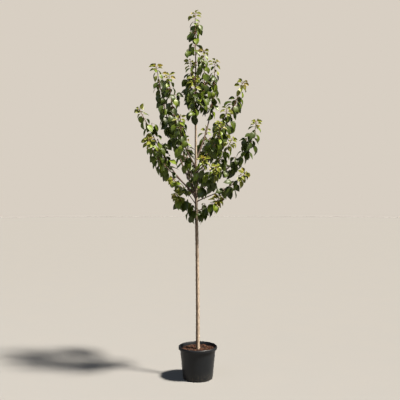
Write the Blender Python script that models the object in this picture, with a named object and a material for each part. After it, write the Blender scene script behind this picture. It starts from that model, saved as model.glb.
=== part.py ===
"""A young broadleaf tree in a round nursery pot, as named solids.

The pot stands on its flat underside at the origin, with +Z up and -Y towards the viewer. A straight
trunk rises from the compost to a leader, and slender boughs leave it at about half its height. Each
bough carries one mass of foliage: a leafy stem with side twigs, whose leaves hang from their stalks.
"""

import math
import random

import bmesh
import bpy
import numpy as np
from mathutils import Matrix, Vector
from mathutils.bvhtree import BVHTree

# ---------------------------------------------------------------- driving dimensions, in metres

CLEAR = 0.0003  # the gap that touching pieces keep

POT_HEIGHT = 0.232
POT_BASE_RADIUS = 0.107
POT_WALL_RADIUS = 0.128  # the wall where it meets the lip
POT_LIP_RADIUS = 0.140
POT_LIP_DROP = 0.019  # how far the lip's edge hangs below the top of the pot
POT_WALL = 0.0026
POT_FLOOR = 0.004
POT_SIDES = 36
DRAIN_HOLES = 8
DRAIN_RADIUS = 0.0065
DRAIN_RING = 0.078
DRAIN_SIDES = 8

SOIL_TOP = 0.209
SOIL_LUMP = 0.0035
SOIL_SEAT = 0.030  # the flat patch that the trunk stands on
SOIL_RINGS = 4

TRUNK_BASE_RADIUS = 0.0138
TRUNK_TOP = 2.36
TRUNK_TOP_RADIUS = 0.0034
TRUNK_LEAN = -0.021  # how far the leader stands to the left of the trunk's foot
TRUNK_WANDER = 0.0025
TRUNK_SIDES = 12
FLARE_HEIGHT = 0.055
FLARE_EXTRA = 0.003
FLARE_LOBES = 5

TWIG_TIP_RADIUS = 0.0014
TWIG_SWELL = 0.0060  # what a metre of growth beyond a point adds to its radius
TWIG_POWER = 0.8
BOUGH_SIDES = 6
STEM_STEP = 0.045
CURVE_PULL = 0.36  # how strongly a bough keeps the direction of its two ends

LEAF_LENGTH = 0.098  # stalk and blade together
LEAF_WIDTH = 0.056
LEAF_THICKNESS = 0.0026  # over the midrib
LEAF_BELLY = 0.60  # where along its length a leaf is widest
STALK_RADIUS = 0.0006
STALK_SHARE = 0.12  # the part next to the stem that may lie among other leaves
LEAF_SPACING = 0.036
LEAF_TURN = math.radians(137.5)
LEAF_TRIES = 8
TURN_STEP = 0.5  # how far round its stem a leaf moves when its place is taken
LEAF_DROOP = (0.9, 2.4)  # how steeply old leaves hang, as drop over reach
LEAF_ROLL = 1.0
YOUNG_LENGTH = 0.10  # the end of a shoot whose leaves are still growing
YOUNG_SHARE = 0.3  # and the most of a short shoot that it takes up
YOUNG_SIZE = 0.5
YOUNG_CROWDING = 0.55
TWIG_SPACING = 0.095
TWIG_REACH = (0.030, 0.058)
TWIG_AHEAD = 0.7  # how far a side twig leans along its stem
TWIG_LIFT = 0.15
TWIG_SAG = 0.05
TWIG_LEAF_SPACING = 0.020
SPRAY_LEAF_SPACING = 0.011
SPACE_RADIUS = 0.130  # a mass keeps this near its own shoot
SPACE_SHARED = 0.020  # how much nearer to another limb a leaf may hang
LINE_PARTS = 6  # how finely the space looks at each step of a limb


class Shoot:
    """A bough and the mass of foliage that it carries, on one curve from the trunk to its tip."""

    def __init__(self, name, start, top, reach, heading, crotch, lean, bare, spacing=LEAF_SPACING):
        self.name = name
        self.start = start  # height on the trunk
        self.top = top  # height of the tip
        self.reach = reach  # tip's distance from the trunk, seen from above
        self.heading = math.radians(heading)  # 0 is right, 90 is away from the viewer
        self.crotch = math.radians(crotch)  # angle between bough and trunk
        self.lean = math.radians(lean)  # angle of the tip from upright
        self.bare = bare  # share of its length without leaves
        self.spacing = spacing  # between its leaves


SHOOTS = [
    Shoot("left_low", 1.195, 1.326, 0.170, -150, 56, 58, 0.40, 0.013),
    Shoot("right_low", 1.205, 1.298, 0.172, -21, 74, 30, 0.35, 0.015),
    Shoot("left_short", 1.245, 1.441, 0.181, -163, 30, 46, 0.45, 0.015),
    Shoot("back_low", 1.258, 1.504, 0.362, 96, 62, 30, 0.40, 0.028),
    Shoot("right_arm", 1.272, 1.473, 0.365, -19, 66, 42, 0.45, 0.020),
    Shoot("left_drop", 1.288, 1.708, 0.387, -148, 34, 16, 0.46, 0.020),
    Shoot("front_mid", 1.302, 1.506, 0.296, -62, 60, 40, 0.28, 0.020),
    Shoot("front_right", 1.320, 1.700, 0.326, -41, 40, 32, 0.36, 0.026),
    Shoot("left_wide", 1.324, 1.924, 0.413, -166, 54, 30, 0.40, 0.026),
    Shoot("left_tall", 1.335, 2.265, 0.301, 168, 30, 12, 0.36, 0.026),
    Shoot("right_wide", 1.345, 1.843, 0.431, -10, 54, 2, 0.34, 0.026),
    Shoot("back_left", 1.354, 1.769, 0.350, 104, 52, 15, 0.36),
    Shoot("front_low", 1.368, 1.564, 0.301, -80, 62, 20, 0.33, 0.022),
    Shoot("right_tall", 1.400, 2.156, 0.360, 16, 30, 20, 0.30, 0.026),
    Shoot("left_inner", 1.400, 1.850, 0.283, -112, 76, 2, 0.36, 0.030),
    Shoot("back_right", 1.436, 1.845, 0.329, 77, 50, 12, 0.40),
    Shoot("front_upper", 1.480, 1.797, 0.306, -56, 68, 18, 0.36, 0.030),
    Shoot("right_mid", 1.500, 1.922, 0.265, -35, 44, 12, 0.30, 0.030),
    Shoot("left_second", 1.520, 2.166, 0.221, -148, 36, 2, 0.30, 0.026),
    Shoot("right_back", 1.573, 2.316, 0.185, 40, 30, 2, 0.46, 0.030),
    Shoot("upper_front", 1.820, 2.145, 0.085, -95, 40, 4, 0.18, 0.028),
    Shoot("upper_right", 1.880, 2.357, 0.067, -28, 34, 2, 0.16, 0.028),
    Shoot("upper_left", 1.900, 2.283, 0.041, 160, 30, 10, 0.16, 0.028),
]

LEADER_SPRAYS = 7  # short leafy twigs round the upper trunk
LEADER_SPRAYS_FROM = 1.987
LEADER_SPRAYS_TO = 2.330
LEADER_TIP_HEIGHT = 2.635
LEADER_SPRAYS_TURN = 1.457
LEADER_LEAF_SPACING = 0.024
SPURS = [("spur_left", 1.184, -125), ("spur_right", 1.190, 25)]  # name, height and heading
SPUR_LENGTH = 0.085
SPRAY_LENGTH = 0.066
SPRAY_RISE = math.radians(48)  # angle between a spray and the trunk
SPRAY_SAG = 0.06


# ---------------------------------------------------------------- meshes


def clear_scene():
    for old in list(bpy.data.objects):
        bpy.data.objects.remove(old, do_unlink=True)


def material(name, colour, roughness):
    made = bpy.data.materials.new(name)
    made.use_nodes = True
    shader = made.node_tree.nodes["Principled BSDF"]
    shader.inputs["Base Color"].default_value = (*colour, 1.0)
    shader.inputs["Roughness"].default_value = roughness
    shader.inputs["Metallic"].default_value = 0.0
    return made


def new_object(name, points, faces, finish=None, smooth=False, group=None):
    """A mesh object, in the scene or in a collection of its own, whose faces point outwards."""
    mesh = bpy.data.meshes.new(name)
    work = bmesh.new()
    corners = [work.verts.new(p) for p in points]
    for face in faces:
        work.faces.new([corners[i] for i in face])
    bmesh.ops.recalc_face_normals(work, faces=work.faces)
    work.to_mesh(mesh)
    work.free()
    made = bpy.data.objects.new(name, mesh)
    (group or bpy.context.scene.collection).objects.link(made)
    if finish:
        mesh.materials.append(finish)
    if smooth:
        mesh.shade_smooth()
        mesh.set_sharp_from_angle(angle=math.radians(40))
    return made


def frames_along(line, first=None, last=None):
    """A direction and two square axes at each point of a line, with no twist from one to the next."""
    frames = []
    side = None
    for i, point in enumerate(line):
        ahead = (line[min(i + 1, len(line) - 1)] - line[max(i - 1, 0)]).normalized()
        if i == 0 and first:
            ahead = first
        if i == len(line) - 1 and last:
            ahead = last
        if side is None:
            side = ahead.cross(Vector((0.3, 1.0, 0.1)))
        side = (side - side.dot(ahead) * ahead).normalized()
        frames.append((ahead, side, ahead.cross(side)))
    return frames


def tube(line, radii, sides, first=None, last=None, lobes=None):
    """Points and faces of a closed limb along a line, whose end faces may be given a direction."""
    points, faces = [], []
    for i, (centre, frame) in enumerate(zip(line, frames_along(line, first, last))):
        for k in range(sides):
            angle = 2 * math.pi * k / sides
            radius = radii[i] + (lobes(i, angle) if lobes else 0.0)
            points.append(centre + radius * (math.cos(angle) * frame[1] + math.sin(angle) * frame[2]))
    for i in range(len(line) - 1):
        for k in range(sides):
            a, b = i * sides + k, i * sides + (k + 1) % sides
            faces.append((a, b, b + sides, a + sides))
    faces.append(tuple(range(sides)))
    faces.append(tuple(range(len(points) - sides, len(points))))
    return points, faces


def turned(name, profile, sides, finish, lumps=None):
    """A closed solid turned from a profile of (radius, height) whose two ends lie on the axis."""
    points = [Vector((0, 0, profile[0][1]))]
    rings = profile[1:-1]
    for row, (radius, height) in enumerate(rings):
        for k in range(sides):
            angle = 2 * math.pi * k / sides
            lift = lumps(row, k) if lumps else 0.0
            points.append(Vector((radius * math.cos(angle), radius * math.sin(angle), height + lift)))
    points.append(Vector((0, 0, profile[-1][1])))
    last = len(points) - 1
    faces = []
    for k in range(sides):
        ahead = (k + 1) % sides
        faces.append((0, 1 + ahead, 1 + k))
        for row in range(len(rings) - 1):
            low, high = 1 + row * sides, 1 + (row + 1) * sides
            faces.append((low + k, low + ahead, high + ahead, high + k))
        top = 1 + (len(rings) - 1) * sides
        faces.append((top + k, top + ahead, last))
    return new_object(name, points, faces, finish, smooth=True)


def boolean(body, operation, solver, other=None, group=None):
    """Adds one Boolean to a body and applies it."""
    step = body.modifiers.new("boolean", "BOOLEAN")
    step.operation = operation
    step.solver = solver
    if group:
        step.operand_type = "COLLECTION"
        step.collection = group
    else:
        step.object = other
    graph = bpy.context.evaluated_depsgraph_get()
    result = bpy.data.meshes.new_from_object(body.evaluated_get(graph))
    body.modifiers.remove(step)
    body.data = result


def keep_largest(body):
    """Drops the loose scraps that a Boolean leaves."""
    work = bmesh.new()
    work.from_mesh(body.data)
    unseen, parts = set(work.verts), []
    while unseen:
        part, front = set(), [unseen.pop()]
        while front:
            vertex = front.pop()
            part.add(vertex)
            for edge in vertex.link_edges:
                near = edge.other_vert(vertex)
                if near in unseen:
                    unseen.discard(near)
                    front.append(near)
        parts.append(part)
    parts.sort(key=len)
    for scrap in parts[:-1]:
        bmesh.ops.delete(work, geom=list(scrap), context="VERTS")
    work.to_mesh(body.data)
    work.free()


# ---------------------------------------------------------------- pot and compost


def wall_radius(height):
    """The pot's outer radius at a height, below the lip."""
    share = height / (POT_HEIGHT - POT_LIP_DROP)
    return POT_BASE_RADIUS + (POT_WALL_RADIUS - POT_BASE_RADIUS) * share


def make_pot(finish):
    edge = POT_HEIGHT - POT_LIP_DROP
    foot = 0.004
    lip_inner = POT_LIP_RADIUS - POT_WALL - 0.001
    mouth = POT_WALL_RADIUS + 0.004
    profile = [
        (0, 0),
        (POT_BASE_RADIUS - foot, 0),
        (wall_radius(foot), foot),
        (POT_WALL_RADIUS, edge),
        (POT_WALL_RADIUS + 0.003, POT_HEIGHT - 0.008),
        (lip_inner - 0.002, POT_HEIGHT - 0.006),
        (lip_inner, edge),
        (POT_LIP_RADIUS, edge),
        (POT_LIP_RADIUS, POT_HEIGHT - 0.005),
        (POT_LIP_RADIUS - 0.004, POT_HEIGHT),
        (mouth, POT_HEIGHT),
        (POT_WALL_RADIUS - POT_WALL, edge),
        (wall_radius(POT_FLOOR) - POT_WALL, POT_FLOOR),
        (0, POT_FLOOR),
    ]
    pot = turned("pot", profile, POT_SIDES, finish)
    for i in range(DRAIN_HOLES):
        angle = 2 * math.pi * (i + 0.5) / DRAIN_HOLES
        centre = (DRAIN_RING * math.cos(angle), DRAIN_RING * math.sin(angle), POT_FLOOR / 2)
        work = bmesh.new()
        bmesh.ops.create_cone(
            work,
            cap_ends=True,
            segments=DRAIN_SIDES,
            radius1=DRAIN_RADIUS,
            radius2=DRAIN_RADIUS,
            depth=3 * POT_FLOOR,
            matrix=Matrix.Translation(centre),
        )
        mesh = bpy.data.meshes.new("drain")
        work.to_mesh(mesh)
        work.free()
        drill = bpy.data.objects.new("drain", mesh)
        bpy.context.scene.collection.objects.link(drill)
        boolean(pot, "DIFFERENCE", "EXACT", other=drill)
        bpy.data.objects.remove(drill)
    return pot


def make_compost(finish):
    rng = random.Random("compost")
    low = POT_FLOOR + CLEAR
    inner_edge = POT_HEIGHT - POT_LIP_DROP

    def inside(height):
        floor, rim = wall_radius(POT_FLOOR) - POT_WALL, POT_WALL_RADIUS - POT_WALL
        return floor + (rim - floor) * (height - POT_FLOOR) / (inner_edge - POT_FLOOR) - 2 * CLEAR

    rim = inside(SOIL_TOP)
    profile = [(0, low), (inside(low), low), (rim, SOIL_TOP - 0.001)]
    for i in range(1, SOIL_RINGS + 1):
        share = i / SOIL_RINGS
        profile.append((rim + (SOIL_SEAT - rim) * share, SOIL_TOP))
    profile.append((0, SOIL_TOP))

    def lumps(row, k):
        loose = 2 <= row < SOIL_RINGS + 1
        return rng.uniform(-SOIL_LUMP, SOIL_LUMP) if loose else 0.0

    return turned("compost", profile, POT_SIDES, finish, lumps)


# ---------------------------------------------------------------- trunk and limbs


def trunk_centre(height):
    """The middle of the trunk at a height: a slight lean to the left with a slow wander."""
    share = (height - SOIL_TOP) / (LEADER_TIP_HEIGHT - SOIL_TOP)
    across = TRUNK_LEAN * share + TRUNK_WANDER * math.sin(9.0 * share)
    depth = TRUNK_WANDER * (math.sin(7.0 * share + 1.0) - math.sin(1.0))
    return Vector((across, depth, height))


def trunk_radius(height):
    """A slow taper up to the boughs, and a quicker one above them."""
    share = max(0.0, (height - SOIL_TOP) / (TRUNK_TOP - SOIL_TOP))
    return TRUNK_BASE_RADIUS + (TRUNK_TOP_RADIUS - TRUNK_BASE_RADIUS) * share**1.7


def trunk_flare(height, angle):
    """What the root flare adds just above the compost."""
    share = max(0.0, 1.0 - (height - SOIL_TOP) / FLARE_HEIGHT)
    return FLARE_EXTRA * share**2 * (0.75 + 0.25 * math.cos(FLARE_LOBES * angle))


def make_trunk(name, finish, extra=0.0, foot=SOIL_TOP + CLEAR):
    heights = [foot, foot + 0.012, foot + 0.028, foot + 0.055]
    step = 0.14
    while heights[-1] + 1.5 * step < TRUNK_TOP:
        heights.append(heights[-1] + step)
    heights.append(TRUNK_TOP)
    line = [trunk_centre(h) for h in heights]
    line[0].z = foot
    radii = [trunk_radius(h) + extra for h in heights]
    points, faces = tube(line, radii, TRUNK_SIDES, lobes=lambda i, angle: trunk_flare(heights[i], angle))
    for point in points[:TRUNK_SIDES]:
        point.z = foot
    return new_object(name, points, faces, finish, smooth=True)


def limb_radius(beyond):
    """A limb's radius where this length of it is still to come."""
    return TWIG_TIP_RADIUS + TWIG_SWELL * max(0.0, beyond) ** TWIG_POWER


def curve_through(base, tip, out, crotch, lean):
    """Evenly spaced points on a bough's curve: it leaves the trunk at one angle and rises to another."""
    reach = (tip - base).length * CURVE_PULL
    first = base + reach * (math.sin(crotch) * out + math.cos(crotch) * Vector((0, 0, 1)))
    second = tip - reach * (math.sin(lean) * out + math.cos(lean) * Vector((0, 0, 1)))
    fine = []
    for i in range(101):
        t = i / 100
        u = 1 - t
        fine.append(u**3 * base + 3 * t * u**2 * first + 3 * t**2 * u * second + t**3 * tip)
    gone = [0.0]
    for a, b in zip(fine, fine[1:]):
        gone.append(gone[-1] + (b - a).length)
    count = max(4, round(gone[-1] / STEM_STEP))
    return [point_at(fine, gone, gone[-1] * i / count) for i in range(count + 1)], gone[-1]


def point_at(fine, gone, distance):
    """The point that lies this far along a line."""
    i = min(max(1, int(np.searchsorted(gone, distance))), len(fine) - 1)
    span = gone[i] - gone[i - 1]
    return fine[i - 1].lerp(fine[i], (distance - gone[i - 1]) / span)


def lay_out(shoot):
    """Gives a shoot its line, its length and the places where the bough ends and the leaves begin."""
    base = trunk_centre(shoot.start)
    out = Vector((math.cos(shoot.heading), math.sin(shoot.heading), 0))
    tip = trunk_centre(shoot.start) + shoot.reach * out
    tip.z = shoot.top
    line, length = curve_through(base, tip, out, shoot.crotch, shoot.lean)
    cut = max(1, round(shoot.bare * (len(line) - 1)))
    shoot.step = length / (len(line) - 1)
    shoot.length = length
    shoot.joint = (line[cut + 1] - line[cut - 1]).normalized()
    shoot.bough_line = line[: cut + 1]
    shoot.leafy_line = line[cut:]
    shoot.leafy_line[0] = line[cut] + CLEAR * shoot.joint


def spray_line(height, heading, length):
    """The line of a short leafy twig that starts inside the trunk."""
    base = trunk_centre(height)
    out = Vector((math.cos(heading), math.sin(heading), 0))
    reach = trunk_radius(height) + length
    tip = base + reach * (math.sin(SPRAY_RISE) * out + math.cos(SPRAY_RISE) * Vector((0, 0, 1)))
    middle = base.lerp(tip, 0.5) - Vector((0, 0, SPRAY_SAG * reach))
    return [base, middle, tip]


def make_bough(shoot, finish, trunk_cutter):
    radii = [limb_radius(shoot.length - shoot.step * i) for i in range(len(shoot.bough_line))]
    points, faces = tube(shoot.bough_line, radii, BOUGH_SIDES, last=shoot.joint)
    bough = new_object("bough_" + shoot.name, points, faces, finish, smooth=True)
    boolean(bough, "DIFFERENCE", "EXACT", other=trunk_cutter)
    keep_largest(bough)
    return bough


# ---------------------------------------------------------------- foliage


def box_of(points):
    """The lowest and highest coordinates of some points."""
    block = np.array([tuple(p) for p in points])
    return block.min(axis=0), block.max(axis=0)


class Space:
    """The room that each mass keeps to: near its own shoot, and clear of every other piece."""

    def __init__(self):
        self.lines = {}
        self.taken = []

    def add_line(self, owner, line):
        dense = []
        for a, b in zip(line, line[1:]):
            dense += [a.lerp(b, i / LINE_PARTS) for i in range(LINE_PARTS)]
        self.lines[owner] = np.array([tuple(p) for p in dense + [line[-1]]])

    def distance(self, owner, point):
        return float(np.linalg.norm(self.lines[owner] - np.array(point), axis=1).min())

    def allows(self, owner, points):
        """Whether points lie in the owner's space, or only a little nearer to another limb."""
        for point in points:
            own = self.distance(owner, point)
            if own > SPACE_RADIUS:
                return False
            for other in self.lines:
                if other != owner and self.distance(other, point) < own - SPACE_SHARED:
                    return False
        return True

    def meets(self, owner, points, faces, own):
        """Whether a piece meets a piece of its owner's, or else one of any other's."""
        tree = BVHTree.FromPolygons(points, faces)
        low, high = box_of(points)
        for whose, other_low, other_high, other in self.taken:
            near = (low < other_high).all() and (high > other_low).all()
            if (whose == owner) == own and near and tree.overlap(other):
                return True
        return False

    def take(self, owner, points, faces):
        self.taken.append((owner, *box_of(points), BVHTree.FromPolygons(points, faces)))

    def take_object(self, owner, thing):
        mesh = thing.data
        self.take(owner, [v.co for v in mesh.vertices], [tuple(p.vertices) for p in mesh.polygons])


def swollen(points, amount):
    """A convex piece grown by an amount on every side, to keep it clear of its neighbours."""
    work = bmesh.new()
    for point in points:
        for axis in range(3):
            for way in (-amount, amount):
                moved = Vector(point)
                moved[axis] += way
                work.verts.new(moved)
    bmesh.ops.convex_hull(work, input=work.verts)
    work.verts.index_update()
    shape = [v.co.copy() for v in work.verts], [tuple(v.index for v in f.verts) for f in work.faces]
    work.free()
    return shape


def leaf(root, along, side, length, width):
    """A leaf and its stalk as a slim wedge with a keel: narrow at the stem, widest at its belly."""
    side = (side - side.dot(along) * along).normalized()
    up = side.cross(along)
    belly = root + LEAF_BELLY * length * along
    points = [
        root + STALK_RADIUS * (0.87 * side - 0.5 * up),
        root - STALK_RADIUS * (0.87 * side + 0.5 * up),
        root + STALK_RADIUS * up,
        belly + width / 2 * side,
        belly - width / 2 * side,
        belly + LEAF_THICKNESS * up,
        root + length * along,
    ]
    faces = [(0, 1, 2), (0, 1, 4, 3), (1, 2, 5, 4), (2, 0, 3, 5), (3, 4, 6), (4, 5, 6), (5, 3, 6)]
    return points, faces


def leaf_places(line, length, rng, spacing):
    """Each leaf's root, the stem's axes there, its turn round the stem, its size and how fresh it is."""
    frames = frames_along(line)
    step = length / (len(line) - 1)
    young = min(YOUNG_LENGTH, YOUNG_SHARE * length)
    turn = rng.uniform(0, 2 * math.pi)
    place = spacing * rng.uniform(0.4, 0.8)
    while place < length:
        i = min(int(place / step), len(line) - 2)
        root = line[i].lerp(line[i + 1], place / step - i)
        fresh = max(0.0, 1 - (length - place) / young)
        size = (1 - (1 - YOUNG_SIZE) * fresh) * rng.uniform(0.86, 1.12)
        yield root, frames[i], turn, size, fresh
        turn += LEAF_TURN + rng.uniform(-0.25, 0.25)
        place += spacing * rng.uniform(0.8, 1.2) * (1 - YOUNG_CROWDING * fresh)


def leaf_pose(frame, turn, fresh, rng):
    """A leaf's direction and the direction of its width. Old leaves hang, fresh ones stand up."""
    ahead, side, other = frame
    out = math.cos(turn) * side + math.sin(turn) * other
    droop = rng.uniform(*LEAF_DROOP) * (1 - fresh) - 0.1 * fresh
    along = (out + 0.2 * ahead * (1 + 4 * fresh) - droop * Vector((0, 0, 1))).normalized()
    across = along.cross(out + Vector((0.01, 0.02, 0.4))).normalized()
    roll = rng.uniform(-LEAF_ROLL, LEAF_ROLL)
    return along, (across + roll * along.cross(across)).normalized()


def side_twigs(line, length, rng):
    """Short twigs that leave the older part of a leafy stem."""
    frames = frames_along(line)
    step = length / (len(line) - 1)
    turn = rng.uniform(0, 2 * math.pi)
    place = TWIG_SPACING * rng.uniform(0.3, 0.7)
    while place < length - YOUNG_LENGTH:
        i = min(int(place / step), len(line) - 2)
        root = line[i].lerp(line[i + 1], place / step - i)
        ahead, side, other = frames[i]
        out = math.cos(turn) * side + math.sin(turn) * other
        reach = rng.uniform(*TWIG_REACH)
        end = root + reach * ((out + TWIG_AHEAD * ahead).normalized() + Vector((0, 0, TWIG_LIFT)))
        middle = root.lerp(end, 0.5) - Vector((0, 0, TWIG_SAG * reach))
        yield [root, middle, end], (end - root).length
        turn += LEAF_TURN
        place += TWIG_SPACING * rng.uniform(0.8, 1.25)


class Mass:
    """One mass of foliage: a leafy stem, its side twigs and their leaves, fused into one solid."""

    def __init__(self, name, line, spacing, space, finish, first=None, trunk_cutter=None):
        self.name = "foliage_" + name
        self.line = line
        self.length = sum((b - a).length for a, b in zip(line, line[1:]))
        self.space = space
        self.rng = random.Random(name)
        radii = [limb_radius(self.length * (1 - i / (len(line) - 1))) for i in range(len(line))]
        points, faces = tube(line, radii, 3, first)
        self.stem = new_object(self.name, points, faces, finish)
        if trunk_cutter:
            boolean(self.stem, "DIFFERENCE", "EXACT", other=trunk_cutter)
            keep_largest(self.stem)
        space.take(self.name, points, faces)
        self.group = bpy.data.collections.new(name)
        self.stems = [(line, self.length, spacing)]
        self.leaves = 0

    def add(self, points, faces):
        new_object(self.name + "_piece", points, faces, group=self.group)
        self.space.take(self.name, points, faces)

    def fits(self, corners, points, faces):
        """Whether a piece keeps to its space and stays clear of every other mass and limb."""
        shape = swollen(points, 2 * CLEAR)
        return self.space.allows(self.name, corners) and not self.space.meets(self.name, *shape, False)

    def grow_twigs(self):
        for twig, reach in side_twigs(self.line, self.length, self.rng):
            sizes = [limb_radius(reach), limb_radius(reach / 2), TWIG_TIP_RADIUS]
            points, faces = tube(twig, sizes, 3)
            if self.fits(twig, points, faces):
                self.add(points, faces)
                self.stems.append((twig, reach, TWIG_LEAF_SPACING))

    def grow_leaves(self):
        for line, length, spacing in self.stems:
            for root, frame, turn, size, fresh in leaf_places(line, length, self.rng, spacing):
                for attempt in range(LEAF_TRIES):
                    along, side = leaf_pose(frame, turn + TURN_STEP * attempt, fresh, self.rng)
                    points, faces = leaf(root, along, side, size * LEAF_LENGTH, size * LEAF_WIDTH)
                    tip = points[-1]
                    blade = [p.lerp(tip, STALK_SHARE) for p in points[:3]] + points[3:]
                    crowded = self.space.meets(self.name, blade, faces, True)
                    if not crowded and self.fits(points[3:], points, faces):
                        self.add(points, faces)
                        self.leaves += 1
                        break

    def fuse(self):
        """Joins the twigs and leaves to the stem as one solid."""
        boolean(self.stem, "UNION", "MANIFOLD", group=self.group)
        for piece in list(self.group.objects):
            bpy.data.objects.remove(piece)
        bpy.data.collections.remove(self.group)
        keep_largest(self.stem)
        triangles = sum(len(p.vertices) - 2 for p in self.stem.data.polygons)
        print(self.name, "leaves", self.leaves, "triangles", triangles)


# ---------------------------------------------------------------- the tree


def shoot_masses(space, bark, foliage, cutter):
    """Makes each shoot's bough and the stem of the mass that it carries."""
    masses = []
    for shoot in SHOOTS:
        lay_out(shoot)
        space.take_object("boughs", make_bough(shoot, bark, cutter))
        space.add_line("foliage_" + shoot.name, shoot.bough_line[1:] + shoot.leafy_line[1:])
        line, spacing = shoot.leafy_line, shoot.spacing
        masses.append(Mass(shoot.name, line, spacing, space, foliage, first=shoot.joint))
    return masses


def leader_masses(space, foliage, cutter):
    """The leafy end of the leader, and the short sprays round the upper trunk and its lowest fork."""
    heights = np.linspace(TRUNK_TOP + CLEAR, LEADER_TIP_HEIGHT, 7).tolist()
    tip = [trunk_centre(height) for height in heights]
    space.add_line("foliage_leader_tip", tip)
    masses = [Mass("leader_tip", tip, LEADER_LEAF_SPACING, space, foliage, first=Vector((0, 0, 1)))]
    sprays = {}
    for i, height in enumerate(np.linspace(LEADER_SPRAYS_FROM, LEADER_SPRAYS_TO, LEADER_SPRAYS).tolist()):
        sprays[f"leader_{i + 1}"] = spray_line(height, LEADER_SPRAYS_TURN + LEAF_TURN * i, SPRAY_LENGTH)
    for name, height, heading in SPURS:
        sprays[name] = spray_line(height, math.radians(heading), SPUR_LENGTH)
    for name, line in sprays.items():
        space.add_line("foliage_" + name, line)
        masses.append(Mass(name, line, SPRAY_LEAF_SPACING, space, foliage, trunk_cutter=cutter))
    return masses


def main():
    clear_scene()
    plastic = material("moulded_plastic", (0.012, 0.013, 0.014), 0.5)
    chips = material("bark_compost", (0.09, 0.045, 0.03), 0.95)
    bark = material("bark", (0.17, 0.125, 0.095), 0.85)
    foliage = material("foliage", (0.06, 0.14, 0.025), 0.45)

    make_pot(plastic)
    make_compost(chips)
    space = Space()
    space.take_object("trunk", make_trunk("trunk", bark))
    cutter = make_trunk("trunk_cutter", None, extra=CLEAR)
    masses = shoot_masses(space, bark, foliage, cutter) + leader_masses(space, foliage, cutter)
    bpy.data.objects.remove(cutter)
    for mass in masses:
        mass.grow_twigs()
    for mass in masses:
        mass.grow_leaves()
        mass.fuse()


if __name__ == "__main__":
    main()
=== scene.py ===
# %% [markdown]
# # A young tree in a nursery pot
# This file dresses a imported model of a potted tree. The model gives the true sizes: a pot, its compost, a
# trunk, twenty-three boughs and thirty-three masses of foliage as plain solids. Each of them is replaced
# here by a piece with the real surface. Everything is in metres, +Z is up, and the pot stands on the floor
# at the origin.

import math
import random

import bpy
import numpy as np
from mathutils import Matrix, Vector, noise
from mathutils.bvhtree import BVHTree
from mathutils.kdtree import KDTree


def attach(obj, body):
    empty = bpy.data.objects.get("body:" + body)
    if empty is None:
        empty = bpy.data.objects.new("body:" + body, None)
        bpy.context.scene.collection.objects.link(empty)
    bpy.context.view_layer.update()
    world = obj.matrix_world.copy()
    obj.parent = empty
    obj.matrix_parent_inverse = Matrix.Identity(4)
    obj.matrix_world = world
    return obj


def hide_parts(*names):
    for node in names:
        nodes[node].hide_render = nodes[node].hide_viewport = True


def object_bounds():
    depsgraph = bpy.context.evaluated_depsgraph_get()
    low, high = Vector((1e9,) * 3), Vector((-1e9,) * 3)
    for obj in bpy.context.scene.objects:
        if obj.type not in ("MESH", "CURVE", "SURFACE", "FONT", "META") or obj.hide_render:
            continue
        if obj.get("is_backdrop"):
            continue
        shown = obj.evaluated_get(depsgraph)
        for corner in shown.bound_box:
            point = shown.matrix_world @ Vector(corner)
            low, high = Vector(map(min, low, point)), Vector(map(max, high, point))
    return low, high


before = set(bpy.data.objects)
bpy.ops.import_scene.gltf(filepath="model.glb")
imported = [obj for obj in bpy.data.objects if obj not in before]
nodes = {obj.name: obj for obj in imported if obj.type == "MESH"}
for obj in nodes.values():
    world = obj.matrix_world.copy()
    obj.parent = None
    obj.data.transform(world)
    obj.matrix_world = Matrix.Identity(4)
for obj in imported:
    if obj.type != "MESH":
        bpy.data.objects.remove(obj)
cad_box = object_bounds()
BOUGH_NODES = sorted(name for name in nodes if name.startswith("bough_"))
FOLIAGE_NODES = sorted(name for name in nodes if name.startswith("foliage_"))
print("loaded", len(nodes), "solids, size", [round(v, 3) for v in cad_box[1] - cad_box[0]])

# %% [markdown]
# ## Camera
# The camera looks from a little below eye level, square on, with a normal lens: 50 mm on a 36 mm wide
# sensor, four metres away. It is level, which keeps the trunk upright in the frame, as suits a tall thin
# subject. Tilted up, it would make the trunk lean.

# %% Place the camera
LENS = 50.0
SENSOR = 36.0
EYE = Vector((0.0159, -4.01, 1.284))

lens = bpy.data.cameras.new("camera")
lens.lens = LENS
lens.sensor_width = SENSOR
camera = bpy.data.objects.new("camera", lens)
camera.location = EYE
camera.rotation_euler = (math.radians(90), 0, 0)
bpy.context.scene.collection.objects.link(camera)
bpy.context.scene.camera = camera
print("camera", LENS, "mm at", [round(v, 2) for v in EYE])

# %% [markdown]
# ## Floor and light
# The floor is one large pale disc. It could be a curved backdrop, but a wall would stand in the way of a
# camera that walks round the tree. The main light is a high sun from the right and a little in front,
# because leaves and bark show their shape best when one side is lit and the other falls away. A cool panel
# on the left, like a skylight, puts the sheen on the leaves, and a dim room keeps the shaded side readable.
# The camera itself sees a plain backdrop in the tone of the lit floor, so the crown stands clear against
# it.

# %% Helpers for operators
def set_mode(kind):
    bpy.ops.object.mode_set(mode=kind)


def start_clean():
    """Leaves edit mode and deselects everything, because an operator acts on all that is selected."""
    if bpy.context.object and bpy.context.object.mode == "EDIT":
        set_mode("OBJECT")
    bpy.ops.object.select_all(action="DESELECT")


# %% Helpers for shader nodes
def linear(colour):
    """The linear red, green, blue and alpha of an sRGB hex colour."""
    channels = [int(colour[i : i + 2], 16) / 255 for i in (1, 3, 5)]
    return [c / 12.92 if c <= 0.04045 else ((c + 0.055) / 1.055) ** 2.4 for c in channels] + [1.0]


def join(tree, node, links):
    """Links a node's inputs to other nodes' outputs. A whole node stands for its first output."""
    for socket, source in links.items():
        if isinstance(source, bpy.types.Node):
            source = source.outputs[0]
        tree.links.new(source, node.inputs[socket])


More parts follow.
